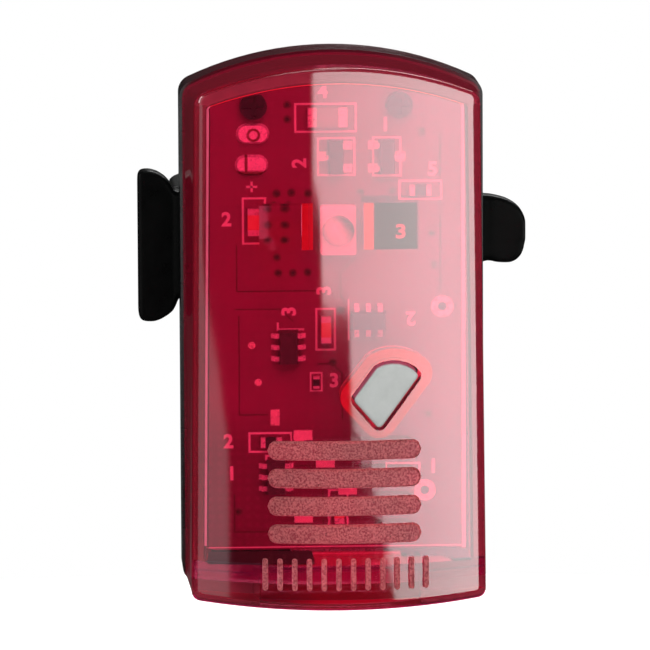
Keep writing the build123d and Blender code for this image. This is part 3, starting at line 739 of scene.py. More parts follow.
def leaf_outline(grow=0.0):
    """The button's quarter-leaf outline on the front, grown all round."""
    far = Vector((2.95, -1.2))
    via = Vector((2.62, 0.95))
    near = Vector((1.4, 2.0))
    first = via - far
    second = near - far
    cross = 2 * (first.x * second.y - first.y * second.x)
    centre = far + Vector((
        (second.y * first.length_squared - first.y * second.length_squared) / cross,
        (first.x * second.length_squared - second.x * first.length_squared) / cross,
    ))
    corners = [Vector((-1.8, 2.0)), Vector((-2.5, -1.2)), far] + arc(centre, far, near, 6)
    radii = [0.35, 0.35, 0.35] + [0.0] * 5 + [0.35]
    shape = rounded([tuple(p) for p in corners], radii, 7)
    if grow:
        shape = grown(shape, grow)
    turn = Matrix.Rotation(radians(BUTTON_TURN), 2)
    return [tuple(turn @ Vector(p) + Vector(BUTTON_MIDDLE)) for p in shape]


def marks_tree(name, material):
    """Geometry Nodes for rounded marks that lie over the bulged front."""
    tree = bpy.data.node_groups.new(name, "GeometryNodeTree")
    face = tree.interface
    face.new_socket("Geometry", in_out="OUTPUT", socket_type="NodeSocketGeometry")
    for label, kind, value in (
        ("Count", "NodeSocketInt", 4),
        ("Step", "NodeSocketVector", (0.0, 0.0, 0.0023)),
        ("Middle", "NodeSocketVector", (0.0, 0.0, 0.0)),
        ("Half Run", "NodeSocketVector", (0.0055, 0.0, 0.0)),
        ("Half Width", "NodeSocketFloat", 0.0008),
        ("Height", "NodeSocketFloat", 0.00035),
        ("Root", "NodeSocketFloat", 0.0009),
    ):
        face.new_socket(label, in_out="INPUT", socket_type=kind).default_value = value
    given = put(tree, "NodeGroupInput").outputs
    half_run = given["Half Run"]
    half_width = given["Half Width"]
    # A unit tube along a line, which runs out in a half circle at each end
    back = reckon_vector(tree, "SCALE", half_run, scale=-1.0)
    line = put(tree, "GeometryNodeCurvePrimitiveLine", {"Start": back, "End": half_run})
    fine = put(tree, "GeometryNodeResampleCurve", {"Curve": line.outputs["Curve"], "Count": 65})
    along = put(tree, "GeometryNodeSplineParameter").outputs["Factor"]
    far = reckon(tree, "ABSOLUTE", reckon(tree, "MULTIPLY_ADD", along, 2.0, -1.0))
    length = reckon_vector(tree, "LENGTH", half_run)
    reach = reckon(tree, "MULTIPLY", far, length)
    flat = reckon(tree, "SUBTRACT", length, half_width)
    past = reckon(tree, "SUBTRACT", reach, flat)
    share = reckon(tree, "DIVIDE", past, half_width, use_clamp=True)
    left = reckon(tree, "SUBTRACT", 1.0004, reckon(tree, "MULTIPLY", share, share))
    taper = reckon(tree, "SQRT", left)
    ring = put(tree, "GeometryNodeCurvePrimitiveCircle", {"Resolution": 28, "Radius": 1.0})
    tube = put(
        tree,
        "GeometryNodeCurveToMesh",
        {
            "Curve": fine.outputs["Curve"],
            "Profile Curve": ring.outputs["Curve"],
            "Scale": taper,
            "Fill Caps": True,
        },
    )
    # The tube is pressed to the mark's half width across and its height or root in depth
    spot = put(tree, "GeometryNodeInputPosition").outputs["Position"]
    level = split(tree, spot)["Y"]
    unit = reckon_vector(tree, "NORMALIZE", half_run)
    on_run = reckon_vector(tree, "DOT_PRODUCT", spot, unit)
    run = reckon_vector(tree, "SCALE", unit, scale=on_run)
    rest = split(tree, reckon_vector(tree, "SUBTRACT", spot, run))
    across_x = reckon(tree, "MULTIPLY", rest["X"], half_width)
    across_z = reckon(tree, "MULTIPLY", rest["Z"], half_width)
    proud = reckon(tree, "LESS_THAN", level, 0.0)
    chosen = put(
        tree,
        "GeometryNodeSwitch",
        {"Switch": proud, "False": given["Root"], "True": given["Height"]},
        input_type="FLOAT",
    )
    # The crown is flat, with its rim rounded over
    steep = reckon(tree, "MULTIPLY", level, 1.7)
    capped = put(tree, "ShaderNodeClamp", {"Value": steep, "Min": -1.0, "Max": 1.0}).outputs["Result"]
    deep = reckon(tree, "MULTIPLY", capped, chosen.outputs[0])
    pressed = put(tree, "ShaderNodeCombineXYZ", {"X": across_x, "Y": deep, "Z": across_z}).outputs[0]
    shaped = reckon_vector(tree, "ADD", run, pressed)
    bar = put(tree, "GeometryNodeSetPosition", {"Geometry": tube.outputs["Mesh"], "Position": shaped})
    # A line of points carries one mark each
    halfway = reckon(tree, "MULTIPLY", reckon(tree, "SUBTRACT", given["Count"], 1.0), -0.5)
    first = reckon_vector(tree, "SCALE", given["Step"], scale=halfway)
    begin = reckon_vector(tree, "ADD", first, given["Middle"])
    row = put(
        tree,
        "GeometryNodeMeshLine",
        {"Count": given["Count"], "Start Location": begin, "Offset": given["Step"]},
    )
    many = put(
        tree,
        "GeometryNodeInstanceOnPoints",
        {"Points": row.outputs["Mesh"], "Instance": bar.outputs["Geometry"]},
    )
    made = put(tree, "GeometryNodeRealizeInstances", {"Geometry": many.outputs["Instances"]})
    # Laid over the bulge: each point moves back by the depth of the front at its X
    x = split(tree, put(tree, "GeometryNodeInputPosition").outputs["Position"])["X"]
    inside = reckon(tree, "SUBTRACT", (BULGE_RADIUS * MM) ** 2, reckon(tree, "MULTIPLY", x, x))
    depth = reckon(tree, "SUBTRACT", BULGE_CENTRE_Y * MM, reckon(tree, "SQRT", inside))
    shift = put(tree, "ShaderNodeCombineXYZ", {"Y": depth}).outputs[0]
    for kind, inputs in (
        ("GeometryNodeSetPosition", {"Offset": shift}),
        ("GeometryNodeMergeByDistance", {"Distance": 1e-6}),
        ("GeometryNodeSetMaterial", {"Material": material}),
        ("NodeGroupOutput", {}),
    ):
        made = put(tree, kind, {"Geometry": made.outputs["Geometry"], **inputs})
    return tree


def raised_marks(name, tree, count, step, middle, half_run, half_width, height, root):
    """A row of marks as a plain mesh, made by the tree from sizes in millimetres."""
    vectors = {"Step": step, "Middle": middle, "Half Run": half_run}
    lengths = {"Half Width": half_width, "Height": height, "Root": root}
    values = {"Count": count}
    values.update({key: [c * MM for c in value] for key, value in vectors.items()})
    values.update({key: value * MM for key, value in lengths.items()})
    made = add_object(name, bpy.data.meshes.new(name))
    nodes = made.modifiers.new("nodes", "NODES")
    nodes.node_group = tree
    for item in tree.interface.items_tree:
        if item.item_type == "SOCKET" and item.in_out == "INPUT":
            nodes[item.identifier] = values[item.name]
    baked(made)
    outward(made)
    return made


def front_materials(lens):
    """The front's materials, in the order of its slots."""
    tint = lens.tint
    gloss = lens.gloss
    return (
        clear_red("clear_red_plastic", tint, gloss, coat=1.0),
        clear_red("clear_red_inside", tint, gloss),
        surface(
            "welded_rim", (0.26, 0.09, 0.10), (0.34, 0.12, 0.13), (0.5, 0.7),
            patch=1.2, grain=0.12, depth=0.02,
        ),
        surface(
            # Painted reflection: a pale mauve band on the left half of the inner edge, where the left
            # light is mirrored
            "painted_reflection_inner_edge", (0.74, 0.44, 0.46), (0.86, 0.56, 0.56), (0.4, 0.55),
            patch=0.8, grain=0.1, depth=0.01,
        ),
        clear_red("deep_red_sides", tint, gloss, coat=1.0, haze=((0.31, 0.004, 0.024), 0.34)),
        # Painted red glow, for the guides' slopes beside the LED and the top of the inner edge
        surface(
            "painted_red_glow", (0.72, 0.02, 0.05), (0.86, 0.04, 0.08), (0.3, 0.4),
            patch=0.8, grain=0.1, depth=0.006,
        ),
        # Painted glow: a bright red haze over the foot of the sides
        clear_red("painted_glow_red_base", tint, gloss, coat=1.0, haze=((0.8, 0.008, 0.16), 0.5)),
    )


def front_skins(lens):
    """The front's outer and inner skins, joined at the split, each stretch with its material."""
    outer, faces, count = shell(0.0, lens.corner, BULGE_RADIUS, lens.rounding, 7)
    inner_radius = BULGE_RADIUS - lens.front_wall
    inner, inner_faces, count = shell(lens.wall, INNER_CORNER, inner_radius, INNER_ROUNDING, 4)
    shift = len(outer)
    start = len(faces)
    faces += [tuple(shift + i for i in reversed(face)) for face in inner_faces]
    for i in range(count):
        j = (i + 1) % count
        faces.append((j, i, shift + i, shift + j))
    cover = new_mesh("lens_cover_shell", outer + inner, faces)
    for material in front_materials(lens):
        cover.data.materials.append(material)
    edge = range(start + EDGE_RUNS[0] * count, start + EDGE_RUNS[1] * count)
    for face in cover.data.polygons:
        middle = face.center / MM
        if middle.y > RIM_Y - 0.01:
            face.material_index = WELD
        elif face.index in edge and middle.z > TOP_EDGE_Z:
            # The top of the inner edge gets the painted red glow
            face.material_index = PAINTED_GLOW
        elif face.index in edge and middle.z > FOOT_EDGE_Z:
            # The left half of the inner edge gets the painted reflection
            face.material_index = PAINTED_REFLECTION if middle.x < 0 else INSIDE
        elif face.index < SIDE_RUNS * count:
            # The foot of the sides gets the painted glow
            face.material_index = BASE if middle.z < BASE_Z else SIDES
        elif face.index >= start:
            face.material_index = INSIDE
    return cover


def sill_block():
    """The clear sill inside the foot of the front, whose front edge follows the bulge."""
    half = 11.1
    run = [-half + 2 * half * k / 30 for k in range(31)]
    front = [(x, bulge_y(x, BULGE_RADIUS - 0.9)) for x in run]
    return prism("sill", front + [(half, -23.4), (-half, -23.4)], -26.9, -24.2, lying)


# The light guides: side of the main LED, gap to it, slant of the near edge, and depths of the
# near and the far edge of the back, which leans so that it mirrors the dark room
GUIDES = ((-1, 2.35, 0.5, -24.1, -23.4), (1, 1.72, 0.78, -23.4, -23.75))
GUIDE_WIDTH = 4.23
GUIDE_FOOT_Z = 1.14
GUIDE_TOP_Z = 4.97
GUIDE_BACK_Y = -23.4
GUIDE_RISE = 0.108


def guide_block(side, gap, slant, near_back, far_back):
    """A light guide from the front's inside towards the board, which rises a little forwards."""
    near = LED_MIDDLE[0] + side * gap
    far = near + side * GUIDE_WIDTH
    block = [
        (far, far_back),
        (near + side * slant, near_back),
        (near, near_back - 0.9),
        (near, -30.5),
        (far, -29.9),
    ]
    shape = rounded(block, [0.12, 0.12, 0.12, 0, 0], 3)
    guide = prism("guide", shape, GUIDE_FOOT_Z, GUIDE_TOP_Z, lying)
    for point in guide.data.vertices:
        point.co.z += GUIDE_RISE * (GUIDE_BACK_Y * MM - point.co.y)
    return guide


class TAILLIGHT_OT_lens(bpy.types.Operator):
    """Clear red front shell with its light guides, button collar, frosted bars and ribs"""

    bl_idname = "tail_light.lens"
    bl_label = "Clear Red Front"

    def execute(self, context):
        lens = context.scene.tail_light_lens
        marks = context.scene.tail_light_marks
        cover = front_skins(lens)
        inside = cover.data.materials[INSIDE]
        # The painted red glow, which the guides' slopes get
        lit = cover.data.materials[PAINTED_GLOW]
        frost = clear_red("frosted_red_plastic", lens.tint, marks.frost, frosted=True)
        tree = marks_tree("raised marks", frost)
        bars = raised_marks(
            "bars", tree, marks.bar_count, step=(0.0, 0.0, marks.bar_pitch), middle=(0.35, 0.0, -17.95),
            half_run=(marks.bar_length / 2, 0.0, 0.0), half_width=marks.bar_width / 2,
            height=marks.bar_height, root=0.8,
        )
        boolean(cover, bars, "UNION")
        ribs = raised_marks(
            "ribs", tree, marks.rib_count, step=(marks.rib_pitch, 0.0, 0.0), middle=(0.43, 0.0, -24.76),
            half_run=(0.0, 0.0, 1.35), half_width=0.225, height=0.25, root=0.5,
        )
        boolean(cover, ribs, "UNION")
        sill = sill_block()
        # Painted glow: the sill's bright red haze brightens the foot of the front
        haze = ((0.8, 0.01, 0.3), 0.2)
        sill.data.materials.append(clear_red("painted_glow_red_sill", lens.tint, lens.gloss, haze=haze))
        boolean(cover, sill, "UNION")
        for row in GUIDES:
            guide = guide_block(*row)
            guide.data.materials.append(inside)
            guide.data.materials.append(lit)
            # The slanted face beside the LED gets the painted red glow, in place of the LED's light
            for face in guide.data.polygons:
                if min(abs(face.normal.x), abs(face.normal.y)) > 0.4 and face.area > 2 * MM**2:
                    face.material_index = 1
            boolean(cover, guide, "UNION")
        for name, outline, back, front, operation in (
            ("collar", leaf_outline(1.1), -28.6, -30.7, "UNION"),
            ("hole", leaf_outline(0.3), -27.0, -34.0, "DIFFERENCE"),
            ("notch", rectangle(-5.7, -30.0, 6.1, -25.7), -17.0, -23.2, "DIFFERENCE"),
        ):
            block = prism(name, outline, back, front, facing)
            block.data.materials.append(inside)
            boolean(cover, block, operation)
        outward(cover)
        sharpen(cover, 32.0)
        cover.name = "clear_front"
        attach(cover, "body")
        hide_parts("lens_cover")
        return {"FINISHED"}


class TAILLIGHT_OT_button(bpy.types.Operator):
    """Grey key with its flange and stem"""

    bl_idname = "tail_light.button"
    bl_label = "Power Button"

    def execute(self, context):
        def on_key(shape, fall=0.0):
            """A loop on the key's face, which lies a little in front of the lens, or below it."""
            return [(x, bulge_y(x, BULGE_RADIUS + 0.25) + fall, z) for x, z in shape]

        # The crown is closed by loops that shrink towards the middle
        rim = leaf_outline(-0.25)
        middle = Vector((sum(p[0] for p in rim), sum(p[1] for p in rim))) / len(rim)
        loops = []
        for share in (0.1, 0.3, 0.55, 0.8):
            loops.append(on_key([middle.lerp(Vector(p), share) for p in rim]))
        for inset, fall in ((0.25, 0.0), (0.11, 0.03), (0.035, 0.09), (0.0, 0.17), (0.0, 0.30)):
            loops.append(on_key(leaf_outline(-inset), fall))
        loops.append([(x, -28.3, z) for x, z in leaf_outline()])
        key = skin("key", loops)
        flange = prism("flange", leaf_outline(0.6), -28.05, -27.45, facing)
        shaft = circle(BUTTON_MIDDLE, 1.2, 28)
        stem = skin("stem", [[(x, depth, z) for x, z in shaft] for depth in (-28.2, -26.9)])
        grey = surface(
            "grey_key_plastic", (0.33, 0.345, 0.335), (0.38, 0.395, 0.385), (0.40, 0.52),
            patch=1.2, grain=0.09, depth=0.006,
        )
        for part in (key, flange, stem):
            part.data.materials.append(grey)
        boolean(key, flange, "UNION")
        boolean(key, stem, "UNION")
        sharpen(key, 40.0)
        key.name = "grey_key"
        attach(key, "button")
        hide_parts("power_button")
        return {"FINISHED"}


def ribbon(points, width, closed=False):
    """Points and faces of a flat line of a width through (x, z) points."""
    count = len(points)
    outer = []
    inner = []
    for i in range(count):
        here = Vector(points[i])
        before = Vector(points[i - 1]) if (i or closed) else here
        after = Vector(points[(i + 1) % count]) if (i < count - 1 or closed) else here
        back = (here - before).normalized() if (here - before).length else Vector((0, 0))
        on = (after - here).normalized() if (after - here).length else Vector((0, 0))
        normal = Vector((-(back + on).y, (back + on).x)).normalized()
        # The mitre of a sharp turn is cut short
        unit = on if on.length else back
        square = max(0.35, normal.dot(Vector((-unit.y, unit.x))))
        outer.append(here + normal * width / 2 / square)
        inner.append(here - normal * width / 2 / square)
        if not closed and i in (0, count - 1):
            push = unit * (width / 2) * (-1 if i == 0 else 1)
            outer[-1] += push
            inner[-1] += push
    faces = loop_faces(2, count)
    return outer + inner, faces if closed else faces[:-1]


def flat_art(name, shapes, height, material):
    """Flat shapes a hair above the board, as thin closed plates: print and copper, and also painted shade
    and a painted highlight.
    """
    points = []
    faces = []
    for outline, quads in shapes:
        shift = len(points)
        points += [(p[0], BOARD_Y - height, p[1]) for p in outline]
        faces += [tuple(shift + i for i in quad) for quad in quads]
    made = new_mesh(name, points, faces, smooth=False)
    work = bmesh.new()
    work.from_mesh(made.data)
    for face in work.faces:
        if face.normal.y > 0:
            face.normal_flip()
    work.to_mesh(made.data)
    work.free()
    thick = made.modifiers.new("thickness", "SOLIDIFY")
    thick.thickness = (height - PRINT_GAP) * MM
    thick.offset = -1.0
    baked(made)
    made.data.materials.append(material)
    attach(made, "body")


def centred(middle, size):
    """The corners of a rectangle round a middle."""
    x, z = middle
    across, up = size[0] / 2, size[1] / 2
    return rectangle(x - across, z - up, x + across, z + up)


def disc(middle, outer, inner=0.0, steps=24):
    """A ring or a full disc."""
    rim = circle(middle, outer, steps)
    if inner <= 0:
        return rim, [tuple(range(steps))]
    return rim + circle(middle, inner, steps), loop_faces(2, steps)


def number_shapes(text, middle, height, turn):
    """A printed number as flat faces, from Blender's own letters."""
    curve = bpy.data.curves.new("number", "FONT")
    curve.body = text
    curve.size = height * LETTER_SIZE
    curve.align_x = "CENTER"
    curve.align_y = "CENTER"
    curve.resolution_u = 3
    curve.offset = 0.055
    made = add_object("number", curve)
    graph = bpy.context.evaluated_depsgraph_get()
    mesh = bpy.data.meshes.new_from_object(made.evaluated_get(graph), depsgraph=graph)
    spin = Matrix.Rotation(radians(turn), 2)
    points = [tuple(spin @ Vector((v.co.x, v.co.y)) + Vector(middle)) for v in mesh.vertices]
    faces = [tuple(p.vertices) for p in mesh.polygons]
    bpy.data.objects.remove(made)
    bpy.data.meshes.remove(mesh)
    bpy.data.curves.remove(curve)
    return points, faces


# Blender's letters are smaller than their size by this much
LETTER_SIZE = 1.38

# Printed frames: middle, size and share of the line's width
FRAMES = (
    ((-0.65, 11.85), (4.9, 2.3), 1.0),
    ((0.2, 8.62), (2.95, 3.05), 1.0),
    ((4.3, 8.6), (2.2, 3.15), 1.0),
    ((7.0, 5.8), (3.35, 1.5), 1.0),
    ((-6.47, 3.35), (1.8, 3.75), 1.0),
    ((-0.72, -5.72), (1.5, 3.4), 1.0),
    ((-1.5, -10.1), (0.9, 1.5), 0.8),
    ((-5.25, -15.12), (3.4, 1.55), 1.0),
    ((0.25, -20.85), (1.5, 3.35), 1.0),
    ((5.5, -17.78), (2.7, 1.6), 1.0),
)

# Printed runs and the cross of the upper pad: points and share of the line's width
RUNS = (
    ([(-2.55, -5.7), (-4.6, -5.7), (-4.6, -5.2)], 1.0),
    ([(1.15, -3.3), (1.15, -6.6)], 0.8),
    ([(-3.6, -16.25), (-5.6, -16.25), (-5.6, -16.55)], 1.0),
    ([(-7.0, 6.18), (-6.3, 6.18)], 1.1),
    ([(-6.65, 5.83), (-6.65, 6.53)], 1.1),
)

# Printed numbers: digit, place and turn
NUMBERS = (
    ("4", (-0.85, 14.0), 0),
    ("2", (-2.75, 8.1), 90),
    ("1", (4.2, 11.35), 180),
    ("5", (8.0, 7.5), 0),
    ("2", (-8.7, 3.45), 0),
    ("3", (-0.8, -2.5), 90),
    ("3", (-3.65, -4.2), 90),
    ("2", (6.2, -4.85), 180),
    ("3", (-0.05, -10.05), 0),
    ("2", (-8.65, -15.05), 0),
    ("1", (-8.4, -17.6), 180),
    ("1", (8.0, -17.3), 0),
    ("1", (1.5, -21.05), 90),
    ("3", (4.6, 2.6), 0),
)

# Pale lines along the board's lower and right edges, the lower one a painted highlight, and the tracks
# under the lacquer: points and width
EDGE_LINES = (
    ([(-10.3, -23.9), (10.42, -23.9)], 0.1),
    ([(10.44, 13.4), (10.44, -23.97)], 0.3),
)
TRACKS = (
    ([(-7.9, 1.3), (-7.9, -2.5), (-1.4, -2.5)], 0.1),
    ([(-8.05, -4.0), (-4.4, -4.0), (-3.4, -5.0)], 0.1),
    ([(-7.75, -4.6), (-7.75, -12.8), (-5.5, -12.8)], 0.1),
    ([(8.6, 10.5), (8.6, -2.6)], 0.16),
    ([(1.2, -3.7), (0.5, -3.0), (0.5, -1.0), (1.6, 0.1)], 0.12),
    ([(-1.3, -8.6), (-0.2, -8.6), (0.6, -9.4), (0.6, -13.2)], 0.12),
    ([(-3.4, -17.1), (-2.2, -17.1), (-1.0, -18.3), (-1.0, -22.6)], 0.12),
    ([(4.0, -20.0), (6.6, -20.0), (8.4, -21.8)], 0.16),
    ([(-8.2, -19.5), (-8.2, -22.6), (-4.4, -22.6)], 0.12),
    ([(3.2, 7.6), (3.2, 6.6), (5.2, 6.6)], 0.12),
)

VIAS = (
    (-3.75, 12.95), (-3.75, 11.75), (-4.65, 5.6), (-3.45, 5.65), (-2.1, 5.6), (-4.9, 4.62),
    (-3.7, 4.62), (-4.9, 3.28), (-3.7, 3.28), (-4.9, 2.03), (-3.7, 2.03), (-4.65, 0.3),
    (-4.55, -1.0), (-3.35, -1.0), (-2.15, -0.95), (2.2, 5.65), (4.75, 5.75), (7.1, 10.65),
    (-0.15, -8.5), (0.55, -4.1), (6.9, -8.2), (7.6, -12.9), (-7.9, -20.9), (3.5, -22.0),
    (-3.2, -21.0), (7.9, 2.2), (8.1, -0.4),
)

# Bare pads: the small round ones, then the square ones with their sizes
ROUND_PADS = ((-6.72, -7.0), (-6.22, -10.1))
SQUARE_PADS = (
    ((-4.86, -13.04), (0.74, 1.34)),
    ((-2.88, -15.42), (0.74, 1.42)),
    ((-0.95, 8.65), (0.7, 0.8)),
    ((1.1, 9.55), (0.8, 0.7)),
    ((1.1, 7.65), (0.8, 0.7)),
    ((3.2, 9.55), (0.8, 0.7)),
    ((3.2, 7.65), (0.8, 0.7)),
    ((5.4, 8.6), (0.8, 0.8)),
)
# A patch of painted shade on the board behind the right light guide, which darkens the guide
SHADE_PATCH = rectangle(2.2, 0.9, 6.85, 5.35)
QUAD = [(0, 1, 2, 3)]


def board_lacquer(mask):
    """Red lacquer over a faint weave, darker towards the board's foot."""
    made, tree, where = new_material("board_lacquer")
    wave = {"Vector": where, "Scale": 420.0, "Distortion": 1.5, "Detail": 1.0}
    bands = [put(tree, "ShaderNodeTexWave", wave, bands_direction=axis).outputs["Fac"] for axis in "XZ"]
    weave = reckon(tree, "MULTIPLY", *bands)
    drift = noise(tree, where, 5.0, 4.0, 0.6)
    pale = [min(1.0, c * 1.07) for c in mask[:3]]
    deep = [c * 0.82 for c in mask[:3]]
    darker_low_tone = [c * 0.52 for c in mask[:3]]
    tone = mixed(tree, spread(tree, drift, 0.0, 1.0), deep, mask)
    low = spread(tree, split(tree, where)["Z"], 0.75, 0.0, -15.5 * MM, -12.0 * MM)
    tone = mixed(tree, low, tone, darker_low_tone)
    inputs = {
        "Base Color": mixed(tree, spread(tree, weave, 0.0, 0.35, 0.2, 0.9), tone, pale),
        "Roughness": spread(tree, drift, 0.28, 0.42),
        "Normal": bump(tree, weave, 0.003),
    }
    output(tree, principled(tree, inputs))
    return made


class TAILLIGHT_OT_board(bpy.types.Operator):
    """Circuit board with its printed lines and numbers, copper, plated holes and rings, dark discs of
    painted shade in the holes, a patch of painted shade behind the right guide and a painted highlight on
    its lower edge
    """

    bl_idname = "tail_light.board"
    bl_label = "Circuit Board"

    def execute(self, context):
        board = context.scene.tail_light_board
        width = board.print_width
        paint(("circuit_board",), board_lacquer(board.mask))
        ink_and_highlight = surface(
            "white_print_and_highlight", (0.74, 0.74, 0.70), (0.86, 0.86, 0.82), (0.5, 0.7),
            patch=0.6, grain=0.08, depth=0.006,
        )
        copper = surface(
            "copper_under_lacquer", (0.07, 0.01, 0.03), (0.10, 0.014, 0.045), (0.3, 0.45),
            patch=1.5, grain=0.2, depth=0.004,
        )
        plated = surface(
            "plated_copper", (0.82, 0.78, 0.66), (0.93, 0.90, 0.80), (0.22, 0.38),
            patch=0.5, grain=0.12, depth=0.008, metallic=0.45,
        )
        # Painted shade: near-black discs stand in for the shade inside the holes
        hole = surface(
            "painted_hole_shade", (0.02, 0.02, 0.018), (0.05, 0.045, 0.04), (0.6, 0.8),
            patch=0.3, grain=0.08, depth=0.01,
        )
        covered = surface(
            "lacquered_rings", (0.085, 0.02, 0.045), (0.12, 0.03, 0.06), (0.25, 0.4),
            patch=0.4, grain=0.12, depth=0.006,
        )
        lines = [ribbon(centred(middle, size), width * share, True) for middle, size, share in FRAMES]
        lines += [ribbon(points, width * share) for points, share in RUNS]
        lines += [number_shapes(text, place, board.print_height, turn) for text, place, turn in NUMBERS]
        lines += [ribbon(points, wide) for points, wide in EDGE_LINES]
        pads = [disc(place, 0.9, 0.37, 32) for place in RING_PADS]
        pads += [disc(place, 0.3, 0.0, 16) for place in ROUND_PADS]
        pads += [(centred(middle, size), QUAD) for middle, size in SQUARE_PADS]
        holes = [disc(place, 0.17, 0.0, 12) for place in VIAS]
        holes += [disc(place, 0.38) for place in RING_PADS]
        # Print, with a painted highlight along the board's lower edge
        flat_art("board_print_and_highlight", lines, 0.03, ink_and_highlight)
        flat_art("board_tracks", [ribbon(points, wide) for points, wide in TRACKS], 0.018, copper)
        flat_art("painted_shade_patch", [(SHADE_PATCH, QUAD)], 0.016, hole)
        flat_art("via_rings", [disc(place, 0.34, 0.16, 16) for place in VIAS], 0.02, covered)
        flat_art("plated_rings", pads, 0.025, plated)
        flat_art("painted_hole_shade_discs", holes, 0.014, hole)
        return {"FINISHED"}


# Finishes of the inner pieces: nodes, then dark and light tone, roughness, patch, grain, depth of
# the grain and share of metal
FINISHES = {
    "chip_moulding": (
        ("transistors", "control_chips", "switch_body", "usb_tongue"),
        (0.05, 0.045, 0.045), (0.08, 0.072, 0.072), (0.4, 0.55), 0.5, 0.07, 0.01, 0.0,
    ),
    "tin_plating": (
        ("resistor_caps", "capacitor_caps", "transistor_legs", "control_chip_pins"),
        (0.72, 0.72, 0.70), (0.88, 0.88, 0.86), (0.22, 0.42), 0.3, 0.1, 0.012, 0.45,
    ),
    "solder": (
        ("solder_joints",),
        (0.80, 0.80, 0.79), (0.92, 0.92, 0.91), (0.2, 0.36), 0.5, 0.7, 0.04, 0.3,
    ),
    "resistor_glaze": (
        ("resistors",),
        (0.018, 0.018, 0.02), (0.035, 0.035, 0.037), (0.25, 0.4), 0.5, 0.07, 0.006, 0.0,
    ),
    "capacitor_ceramic": (
        ("capacitors",),
        (0.72, 0.34, 0.22), (0.82, 0.42, 0.28), (0.3, 0.45), 0.4, 0.06, 0.008, 0.0,
    ),
    "dark_screw_steel": (
        ("board_screws",),
        (0.045, 0.045, 0.05), (0.08, 0.08, 0.085), (0.28, 0.42), 0.4, 0.12, 0.01, 1.0,
    ),
    "led_ceramic": (
        ("led_package",),
        (0.80, 0.79, 0.74), (0.92, 0.91, 0.86), (0.4, 0.5), 0.6, 0.08, 0.006, 0.0,
    ),
    "indicator_body": (
        ("indicator_leds",),
        (0.78, 0.76, 0.66), (0.94, 0.92, 0.80), (0.3, 0.45), 0.3, 0.1, 0.01, 0.0,
    ),
    "switch_steel": (
        ("switch_frame",),
        (0.62, 0.62, 0.61), (0.78, 0.78, 0.77), (0.25, 0.4), 0.8, 0.1, 0.008, 1.0,
    ),
    "socket_steel": (
        ("usb_shell",),
        (0.34, 0.34, 0.33), (0.46, 0.46, 0.45), (0.2, 0.34), 1.4, 0.15, 0.006, 1.0,
    ),
    "gold_contacts": (
        ("usb_contacts",),
        (0.80, 0.56, 0.20), (0.95, 0.72, 0.32), (0.18, 0.3), 0.4, 0.1, 0.006, 1.0,
    ),
    "grey_foam": (
        ("battery_pad",),
        (0.10, 0.10, 0.10), (0.17, 0.17, 0.165), (0.8, 0.95), 0.5, 0.18, 0.08, 0.0,
    ),
    "cell_foil": (
        ("battery_cell",),
        (0.62, 0.63, 0.64), (0.78, 0.79, 0.80), (0.24, 0.4), 3.0, 0.6, 0.03, 1.0,
    ),
    "lead_insulation": (
        ("battery_leads",),
        (0.45, 0.02, 0.015), (0.58, 0.04, 0.03), (0.35, 0.5), 0.8, 0.1, 0.008, 0.0,
    ),
    "switch_plunger_plastic": (
        ("switch_plunger",),
        (0.54, 0.49, 0.44), (0.64, 0.59, 0.53), (0.35, 0.5), 0.5, 0.08, 0.008, 0.0,
    ),
    "black_seal_silicone": (
        ("case_seal",),
        (0.012, 0.012, 0.012), (0.022, 0.022, 0.022), (0.4, 0.6), 0.6, 0.1, 0.012, 0.0,
    ),
    "red_seal_silicone": (
        ("button_seal",),
        (0.66, 0.07, 0.13), (0.78, 0.10, 0.17), (0.35, 0.5), 0.6, 0.1, 0.01, 0.0,
    ),
}


def painted_solder_shade(made):
    """Painted shade on the solder: a dark ring round the upper lead's pin, a dark crease at the lower
    joint's waist and a painted shadow along its foot.
    """
    tree, where = opened(made)
    flat = reckon_vector(tree, "MULTIPLY", where, (1.0, 0.0, 1.0))
    away = reckon_vector(tree, "DISTANCE", flat, (LEAD_PIN[0] * MM, 0.0, LEAD_PIN[1] * MM))
    # Painted shade: a dark ring round the pin
    off = reckon(tree, "ABSOLUTE", reckon(tree, "SUBTRACT", away, 0.45 * MM))
    tone_over(made, spread(tree, off, 1.0, 0.0, 0.07 * MM, 0.14 * MM), (0.20, 0.05, 0.05))
    place = split(tree, where)
    # Painted shade in the crease at the lower joint's waist, and a painted shadow along its foot
    crease_shade = reckon(tree, "ABSOLUTE", reckon(tree, "ADD", place["X"], 7.1 * MM))
    crease_shade = spread(tree, crease_shade, 1.0, 0.0, 0.08 * MM, 0.16 * MM)
    foot_shadow = spread(tree, place["Z"], 1.0, 0.0, 7.45 * MM, 7.65 * MM)
    dark = reckon(tree, "MAXIMUM", crease_shade, foot_shadow)
    for ends, first, last in (((1.0, 0.0), 8.9, 9.1), ((0.0, 1.0), 6.0, 6.2)):
        inside = spread(tree, place["Z"], *ends, first * MM, last * MM)
        dark = reckon(tree, "MULTIPLY", dark, inside)
    tone_over(made, dark, (0.16, 0.04, 0.05))


def lighter_above(made, level, colour):
    """Another colour above a height."""
    tree, where = opened(made)
    share = spread(tree, split(tree, where)["Z"], 0.0, 1.0, (level - 0.1) * MM, (level + 0.1) * MM)
    tone_over(made, share, colour)


